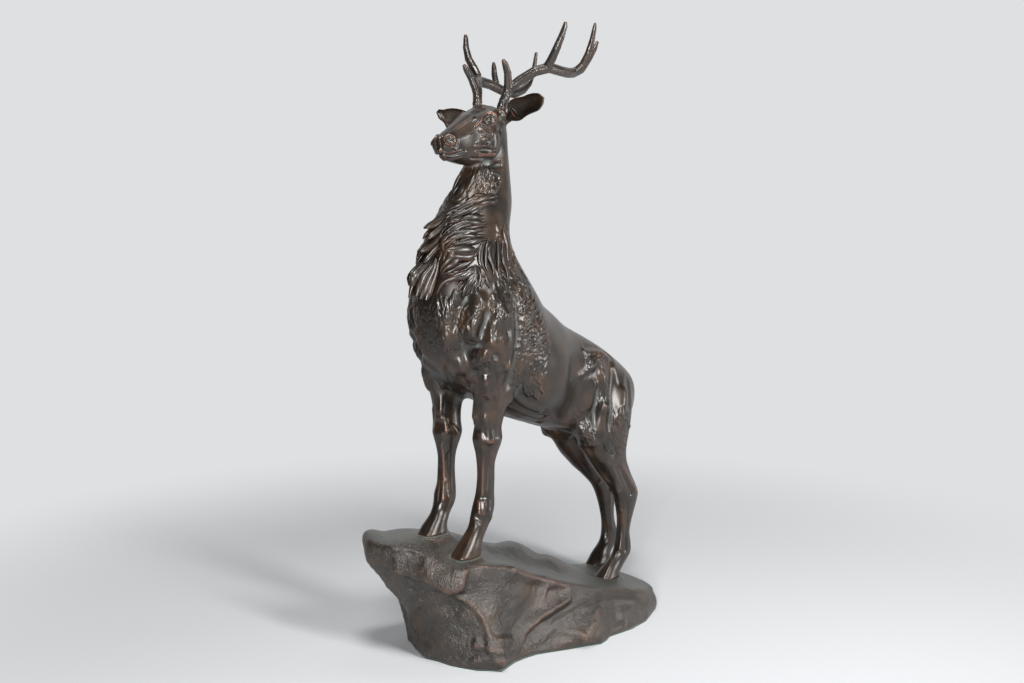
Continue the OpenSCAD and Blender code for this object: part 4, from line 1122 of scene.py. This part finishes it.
def lockTree():
    # sweeps a flat ribbed ring along each line, with its marks for the patina
    tree, enter, leave = newGroup(
        "lockSweep", "GeometryNodeTree",
        {"Geometry": "Geometry", "Sides": "Int", "Strands": "Float", "Strand Depth": "Float",
         "Flatness": "Float", "Bronze": "Material"},
        {"Geometry": "Geometry"})

    def step(kind, inputs, **settings):
        return nodeIn(tree, "GeometryNode" + kind, inputs, **settings).outputs

    def times(a, b):
        return sumUp(tree, "MULTIPLY", a, b)

    def keep(shape, key, value):
        sockets = {"Geometry": shape, "Name": key, "Value": value}
        return step("StoreNamedAttribute", sockets, data_type="FLOAT", domain="POINT")["Geometry"]

    def named(key, kind="FLOAT"):
        return step("InputNamedAttribute", {"Name": key}, data_type=kind)["Attribute"]

    ring = step("CurvePrimitiveCircle", {"Radius": 1, "Resolution": enter["Sides"]}, mode="RADIUS")["Curve"]
    angle = times(step("SplineParameter", {})["Factor"], 2 * math.pi)
    crest = sumUp(tree, "COSINE", times(times(angle, 2.0), enter["Strands"]))
    ribbed = sumUp(tree, "MULTIPLY_ADD", crest, enter["Strand Depth"], 1.0)
    split = nodeIn(tree, "ShaderNodeSeparateXYZ", {0: step("InputPosition", {})[0]}).outputs
    joined = nodeIn(tree, "ShaderNodeCombineXYZ", {"X": times(times(split["X"], enter["Flatness"]), ribbed),
                                                   "Y": times(split["Y"], ribbed)})
    ring = step("SetPosition", {"Geometry": ring, "Position": joined.outputs[0]})["Geometry"]
    ring = keep(ring, "edge", rampOf(tree, sumUp(tree, "ABSOLUTE", split["Y"]), 0.8, 0.98))
    ring = keep(ring, "crest", crest)
    lines = step("MeshToCurve", {"Mesh": enter["Geometry"]})["Curve"]
    away = named("away", "FLOAT_VECTOR")
    lines = step("SetCurveNormal", {"Curve": lines, "Normal": away}, mode="FREE")["Curve"]
    sweep = {"Curve": lines, "Profile Curve": ring, "Scale": named("halfWidth"), "Fill Caps": True}
    swept = step("CurveToMesh", sweep)["Mesh"]
    swept = step("RealizeInstances", {"Geometry": swept})["Geometry"]
    worn = sumUp(tree, "MULTIPLY_ADD", named("crest"), 0.10, times(named("edge"), named("rub")))
    swept = keep(swept, "wear", worn)
    swept = keep(swept, "hollow", sumUp(tree, "MULTIPLY_ADD", named("crest"), -0.22, 0.22))
    swept = step("SetShadeSmooth", {"Geometry": swept})["Geometry"]
    feed(leave["Geometry"], step("SetMaterial", {"Geometry": swept, "Material": enter["Bronze"]})["Geometry"])
    return tree


def sweepMane(name):
    locks = growMane()
    lines, outs, widths, rubs = zip(*locks)
    count = mane["places"]
    edges = [(k * count + i, k * count + i + 1) for k in range(len(locks)) for i in range(count - 1)]
    me = bpy.data.meshes.new(name + "Lines")
    me.from_pydata((np.concatenate(lines) / 1000).tolist(), edges, [])
    markSpots(me, "away", np.concatenate(outs), "FLOAT_VECTOR")
    markSpots(me, "halfWidth", np.concatenate(widths) / 1000)
    markSpots(me, "rub", np.repeat(rubs, count))
    grower = addObject(name + "Lines", me)
    grown = grower.modifiers.new("lockSweep", "NODES")
    grown.node_group = lockTree()
    sockets = grown.node_group.interface.items_tree
    ids = {item.name: item.identifier for item in sockets if item.in_out == "INPUT"}
    for key in ("Sides", "Strands", "Strand Depth", "Flatness"):
        grown[ids[key]] = mane[key]
    grown[ids["Bronze"]] = stagBronze
    swept = bpy.data.meshes.new_from_object(grower.evaluated_get(bpy.context.evaluated_depsgraph_get()))
    bpy.data.objects.remove(grower)
    swept.name = name
    finishPiece(addObject(name, swept), ["neck"])


sweepMane("maneLocks")

# Antlers and ears: cell in mm, smoothing passes, and the most wear and hollow; the ears are bent to their
# outline by [from, to, radius] in the camera's view.
small = {
    "leftAntler": {"cell": 0.7, "passes": 12, "wear": 0.5, "hollow": 1.0},
    "leftEar": {"cell": 0.45, "passes": 24, "wear": 0.8, "hollow": 0.35,
                "pulls": [[(514, 104), (509, 101), 14], [(531, 118), (528.5, 116), 13]]},
    "rightAntler": {"cell": 0.7, "passes": 12, "wear": 0.5, "hollow": 1.0},
    "rightEar": {"cell": 0.45, "passes": 24, "wear": 0.25, "hollow": 0.35,
                 "pulls": [[(435.5, 118.5), (437, 112.5), 13], [(440, 126), (443, 124), 9]]},
}
antlerRough = {"burrTop": 690, "burrFade": 22, "burr": 0.9, "burrScale": 0.45,
               "groove": 0.22, "grooveScale": 0.9}


def antlerSkin(spots):
    # a rough burr at the root and shallow grooves up the beam
    look = antlerRough
    root = fadeDown(spots[:, 2], look["burrTop"], look["burrFade"])
    rough = np.array([noise.noise(Vector(p) * look["burrScale"]) for p in spots])
    fine = np.array([noise.noise(Vector((p[0], p[1], p[2] * 0.3)) * look["grooveScale"]) for p in spots])
    return look["burr"] * root * rough + look["groove"] * fine


for name, look in small.items():
    side, kind = ("left", name[4:].lower()) if name.startswith("left") else ("right", name[5:].lower())
    field, low = nodeField([side + "_" + kind], look["cell"])
    spots, quads = meshField(field, look["cell"], low)
    spots = relax(spots, neighbours(len(spots), quads), look["passes"])
    if kind == "antler":
        spots = spots + vertexNormals(spots, quads) * antlerSkin(spots)[:, None]
    spots = grab(spots, look.get("pulls", ()))
    sharp, _ = bentMarks(spots, quads, vertexNormals(spots, quads), np.ones(len(spots)), look["cell"])
    marks = {"wear": fade(sharp, *patinaMarks["smallEdge"]) * look["wear"],
             "hollow": fade(-sharp, *patinaMarks["smallHollow"]) * look["hollow"]}
    material, slotName = (antlerBronze, "bronze_antler") if kind == "antler" else (stagBronze, "bronze_stag")
    putTogether(name, spots, quads, material, [side + "_" + kind], marks)

# Ridges and dents of the rock
rockStrokes = {
    "rock": [
        [[(60, 190), (110, 235), (205, 252), (330, 290), (420, 302), (520, 322), (640, 302), (720, 307),
         (800, 322)],
         6, 1.6, 0.7, 1],
        [[(800, 322), (880, 345), (1000, 374), (1060, 396), (1200, 407), (1290, 402), (1420, 436),
         (1498, 462)],
         6, 1.6, 1, 0.7],
        [[(482, 436), (560, 470), (621, 518), (674, 613), (690, 700), (740, 762)], 9, 3, 0.5, 1],
        [[(562, 330), (552, 380), (560, 420)], 7, 2, 1, 0.7],
        [[(620, 690), (680, 700), (740, 715)], 10, 4, 1, 0.8],
        [[(610, 765), (680, 752), (750, 765)], 9, 3],
        [[(330, 480), (300, 560), (330, 660), (390, 740)], 14, 3, 0.8, 1],
        [[(460, 520), (500, 590), (600, 640)], 30, -4],
        [[(1185, 590), (1165, 660)], 9, 3, 1, 0.8],
        [[(1130, 640), (1160, 690), (1130, 720)], 7, 2, 1, 0.8],
        [[(260, 210), (360, 235)], 14, -1.6],
        [[(700, 230), (850, 280), (1000, 320)], 24, -2.0],
        [[(290, 240), (345, 262)], 6, -2.2],
        [[(780, 420), (830, 440)], 8, 1.5],
    ],
}
# Broken faces: corners in the rock view, each with the height the stone is built up or cut back to there
rockFacets = [
    [(211, 257, 3), (344, 299, 3), (504, 337, 3), (573, 315, 2), (546, 416, 7), (482, 432, 7), (376, 368, 6),
     (227, 328, 5)],
    [(291, 400, -2), (482, 438, -6), (621, 518, -3), (674, 613, 0), (664, 731, 0), (376, 709, 1),
     (312, 582, 0)],
    [(578, 315, 0), (962, 390, -2), (930, 507, -6), (813, 645, -8), (706, 645, -2), (632, 496, 0),
     (557, 422, 0)],
    [(978, 406, -2), (1090, 416, -2), (1073, 480, 6), (951, 555, 7), (877, 624, 7), (834, 699, 5),
     (786, 736, 3),
     (823, 624, -6), (877, 550, -6), (951, 475, -5)],
    [(1100, 486, -2), (1073, 486, -3), (951, 560, -8), (877, 629, -8), (839, 699, -4), (951, 645, -1),
     (1004, 582, 0),
     (1100, 534, 0)],
    [(983, 597, -3), (1100, 534, -3), (1191, 502, -2), (1185, 582, 4), (1153, 672, 6), (1047, 624, 4)],
    [(983, 603, 0), (1047, 629, -2), (1148, 677, 0), (1090, 709, 0), (877, 752, 0), (855, 709, -3)],
    [(1196, 507, 3), (1303, 475, 1), (1334, 560, -5), (1281, 656, -3), (1196, 677, 0), (1164, 667, 4)],
    [(1217, 422, -1), (1398, 422, -1), (1409, 486, 3), (1303, 475, 3), (1207, 496, 3)],
    [(1409, 486, 2), (1494, 464, 0), (1483, 539, 0), (1409, 592, 0), (1345, 613, -4), (1340, 550, -5)],
]
# The rim drawn out: [from, to, radius] in the camera's view
rockPulls = [
    [(371, 534), (366.5, 528), 16], [(516, 548.5), (514, 541.5), 26],
    [(553, 561), (552, 557), 20], [(656.5, 587.5), (652, 586.5), 13],
]
rock = {
    "cell": 2.35,
    "closes": 5.0,       # gaps in the shell up to twice this wide close up
    "wall": 8.0,         # least wall behind the outside
    "coverGap": 0.3,     # clearance round the cover plate
    "passes": 26,        # smoothing passes before the stone is broken
    "facet": 1.4,        # how far the broken faces are carried out
    "steep": 1.1,        # the sides' share of crags and pits is this less the upward slope
    "cragScale": 0.021,
    "cragShape": (0.9, 2.1, 4, 1.0, 2.0),
    "crag": (0.4, 1.2),  # height of the crags on the top, and more of it on the sides
    "pitScale": 0.22,
    "finePitScale": 0.45,
    "finePit": 0.9,
    "pit": (0.2, 0.5),
    "middle": (0, 30, 20),   # outside is what faces away from here
    "facing": (-0.04, 0.2),
    "foot": (2, 6),      # the foot keeps its form to here, then less and less over this height
    "hoofGap": (1, 12),  # and so do the seats of the hooves
    "hoofFrom": 20,      # lowest height of a seat
    "hoofReach": 40,     # distances to a hoof are measured up to this
    "top": (0.75, 0.2),  # steepness at which the top begins, where dust gathers and where a painted sheen of the light from above is laid
    "topDustAndSheen": 0.5,
    "topUnworn": 0.6,
    "hoofDust": (1.2, 3.0),  # most dust round the hooves, and how far it reaches
}


def facetRise(spots, out):
    # each broken face is a flat tilt laid over the form under it
    left, top, larger = views["rock"]
    x, y, _ = inView(spots)
    x, y = (x - left) * larger, (y - top) * larger
    facing = ((np.array(camera["place"]) * 1000 - spots) * out).sum(1) > 0
    rise = np.zeros(len(spots))
    for corners in rockFacets:
        hit = np.nonzero(facing & insidePatch(corners, x, y))[0]
        base = np.array([[1, a, b] for a, b, _ in corners], float)
        tilt = np.linalg.lstsq(base, np.array([c[2] for c in corners], float), rcond=None)[0]
        rise[hit] = rock["facet"] * (tilt[0] + tilt[1] * x[hit] + tilt[2] * y[hit])
    return rise


def rockField(cell):
    # the casting with a whole wall behind its outside, open below for the cover plate
    closes = rock["closes"]
    field, low = nodeField(["rock_base"], cell, 12, 8)
    cover = readField(*nodeMesh("base_cover"), cell, low, field.shape, 8)
    spots, quads = meshField(np.minimum(field, cover), cell, low, closes)
    filled = readField(spots, quads, cell, low, field.shape, 8) + closes
    shell = np.maximum(filled, -filled - rock["wall"])
    return np.maximum(np.minimum(field, shell), rock["coverGap"] - cover), low


def hoofDistance(spots):
    low, most = rock["hoofFrom"], rock["hoofReach"]
    legs = [treeOf(*nodeMesh(name)) for name in castings if name.endswith("leg")]

    def nearest(spot):
        return min(leg.find_nearest(Vector(spot), most)[3] or most for leg in legs)

    return np.array([nearest(spot) if spot[2] > low else most for spot in spots])


def stoneNoise(spots, steep):
    # crags and pits, deeper on the sides than on the top
    def noiseAt(kind, scale, *shape):
        return np.array([kind(Vector(spot) * scale, *shape) for spot in spots])

    crag = noiseAt(noise.ridged_multi_fractal, rock["cragScale"], *rock["cragShape"])
    pits = noiseAt(noise.noise, rock["pitScale"])
    pits += rock["finePit"] * noiseAt(noise.noise, rock["finePitScale"])
    cragHigh, pitHigh = (low + more * steep for low, more in (rock["crag"], rock["pit"]))
    return (crag - crag.mean()) * cragHigh + pits * pitHigh


def rockPiece(name):
    cell = rock["cell"]
    field, low = rockField(cell)
    spots, quads = meshField(field, cell, low)
    near = neighbours(len(spots), quads)
    # only the outside is worked, clear of the foot and of the hooves
    aim = unit(spots - np.array(rock["middle"]))
    facing = (vertexNormals(spots, quads) * aim).sum(1)
    outside = fade(facing, *rock["facing"]) * fade(spots[:, 2], *rock["foot"])
    away = hoofDistance(spots)
    free = meanAround(outside, near, 4) * fade(away, *rock["hoofGap"])
    spots = soften(spots, near, rock["passes"], free[:, None])
    out = vertexNormals(spots, quads)
    rise = meanAround(facetRise(spots, out), near, 3)
    rise += Shelf(spots).lay(strokeLines(rockStrokes, False, treeOf(spots, quads)))
    rise += stoneNoise(spots, np.clip(rock["steep"] - out[:, 2], 0, 1))
    spots = spots + out * (rise * free)[:, None]
    spots = spots + (grab(spots, rockPulls) - spots) * free[:, None]
    out = vertexNormals(spots, quads)
    sharp, _ = bentMarks(spots, quads, out, np.ones(len(spots)), cell)
    # upward faces are painted pale grey-green through the hollow mark: partly dust, partly painted sheen of
    # the light from above; round the hooves it is dust
    top = fade(out[:, 2], *rock["top"])
    most, reach = rock["hoofDust"]
    dustAndTopSheen = rock["topDustAndSheen"] * top + most * np.clip(1 - away / reach, 0, 1)
    marks = {"wear": fade(sharp, *patinaMarks["rockEdge"]) * (1 - rock["topUnworn"] * top),
             "hollow": dustAndTopSheen + fade(-sharp, *patinaMarks["rockHollow"])}
    putTogether(name, spots, quads, rockBronze, ["rock_base"], marks)


rockPiece("rockBronze")

stage = {
    "paper": (0.55, 0.56, 0.575, 1),
    "pale": (0.735, 0.745, 0.755, 1),     # the backdrop as it is seen
    "plain": (0.35, 1.1),              # the floor fades into the backdrop over this distance
    "mirrored": (0.7, 1.5),            # and behind the base over this one, as the metal shows it
    "reach": 4.0,
    "back": 2.0,                       # where the paper starts to rise behind the base
    "bend": 0.5,
    "bendParts": 12,
    "air": (0.86, 0.85, 0.84, 1),
    "airStrength": 0.06,
}
# Soft lamps: [name, place, aim, size, watts]
lamps = [
    ["topLamp", (0.4, -0.6, 2.15), (0, 0, 0.4), (0.45, 0.35), 22],
    ["sideLamp", (1.7, -0.25, 1.2), (0, 0, 0.4), (0.25, 0.85), 36],
    ["frontLamp", (1.12, -1.75, 0.62), (0, 0, 0.4), (0.25, 0.42), 38],
    ["rimLamp", (1.5, 1.3, 0.5), (0, 0, 0.4), (0.4, 0.5), 12],
    ["backLamp", (-0.2, 0.5, 2.1), (0, 0.5, 0.4), (0.8, 0.8), 4],
]
turned = math.radians(camera["turn"])
backWay = Vector((-math.sin(turned), math.cos(turned), 0))


def seenRays(tree):
    # rays that show the surface itself, straight or through glass, and the mirrored ones
    ray = nodeIn(tree, "ShaderNodeLightPath").outputs
    return sumUp(tree, "MAXIMUM", ray["Is Camera Ray"], ray["Is Transmission Ray"]), ray["Is Glossy Ray"]


def mixShaders(tree, share, a, b, end):
    mix = nodeIn(tree, "ShaderNodeMixShader", {0: share, 1: a.outputs[0], 2: b.outputs[0]})
    feed(tree.nodes[end].inputs["Surface"], mix.outputs[0])


def paperLook():
    # a lit floor that fades into an even backdrop, which the metal shows too where it lies behind
    paper, tree, shader = newMaterial("paper")
    shader["Base Color"].default_value = stage["paper"]
    shader["Roughness"].default_value = 0.9
    glow = nodeIn(tree, "ShaderNodeEmission", {"Color": stage["pale"]})
    place = nodeIn(tree, "ShaderNodeTexCoord").outputs["Object"]
    away = nodeIn(tree, "ShaderNodeVectorMath", {0: place}, operation="LENGTH").outputs["Value"]
    behind = nodeIn(tree, "ShaderNodeVectorMath", {0: place, 1: backWay}, operation="DOT_PRODUCT")
    behind = behind.outputs["Value"]
    seen, glossy = seenRays(tree)
    seen = sumUp(tree, "MULTIPLY", seen, rampOf(tree, away, *stage["plain"]))
    shown = sumUp(tree, "MULTIPLY", glossy, rampOf(tree, behind, *stage["mirrored"]))
    glows = sumUp(tree, "MAXIMUM", seen, shown)
    mixShaders(tree, glows, tree.nodes["Principled BSDF"], glow, "Material Output")
    return paper


def paperSweep():
    # a sheet of paper that lies under the base and rises behind it
    side = Vector((backWay.y, -backWay.x, 0))
    reach, back, bend, parts = (stage[key] for key in ("reach", "back", "bend", "bendParts"))
    angles = [math.radians(90 * k / parts) for k in range(1, parts + 1)]
    profile = [(-reach, 0.0), (back, 0.0)]
    profile += [(back + bend * math.sin(a), bend * (1 - math.cos(a))) for a in angles]
    profile.append((back + bend, reach))
    spots = [tuple(backWay * along + side * (s * reach) + Vector((0, 0, up)))
             for along, up in profile for s in (-1, 1)]
    faces = [(2 * k, 2 * k + 1, 2 * k + 3, 2 * k + 2) for k in range(len(profile) - 1)]
    me = bpy.data.meshes.new("paper")
    me.from_pydata(spots, [], faces)
    me.shade_smooth()
    me.materials.append(paperLook())
    addObject("paper", me)


def softLamp(name, place, aim, size, power):
    light = bpy.data.lights.new(name, "AREA")
    light.shape = "RECTANGLE"
    light.size, light.size_y = size
    light.energy = power
    lamp = addObject(name, light)
    lamp.visible_camera = False
    lamp.location = place
    lamp.rotation_euler = (Vector(aim) - Vector(place)).to_track_quat("-Z", "Y").to_euler()


def roomAir():
    # a faint even light, which looks as pale as the backdrop
    world = bpy.data.worlds.new("room")
    bpy.context.scene.world = world
    world.use_nodes = True
    tree = world.node_tree
    tree.nodes["Background"].inputs["Color"].default_value = stage["air"]
    tree.nodes["Background"].inputs["Strength"].default_value = stage["airStrength"]
    pale = nodeIn(tree, "ShaderNodeBackground", {"Color": stage["pale"]})
    mixShaders(tree, seenRays(tree)[0], tree.nodes["Background"], pale, "World Output")


paperSweep()
for row in lamps:
    softLamp(*row)
roomAir()
bpy.context.scene.view_settings.view_transform = "Standard"
print("stage and lamps ready")
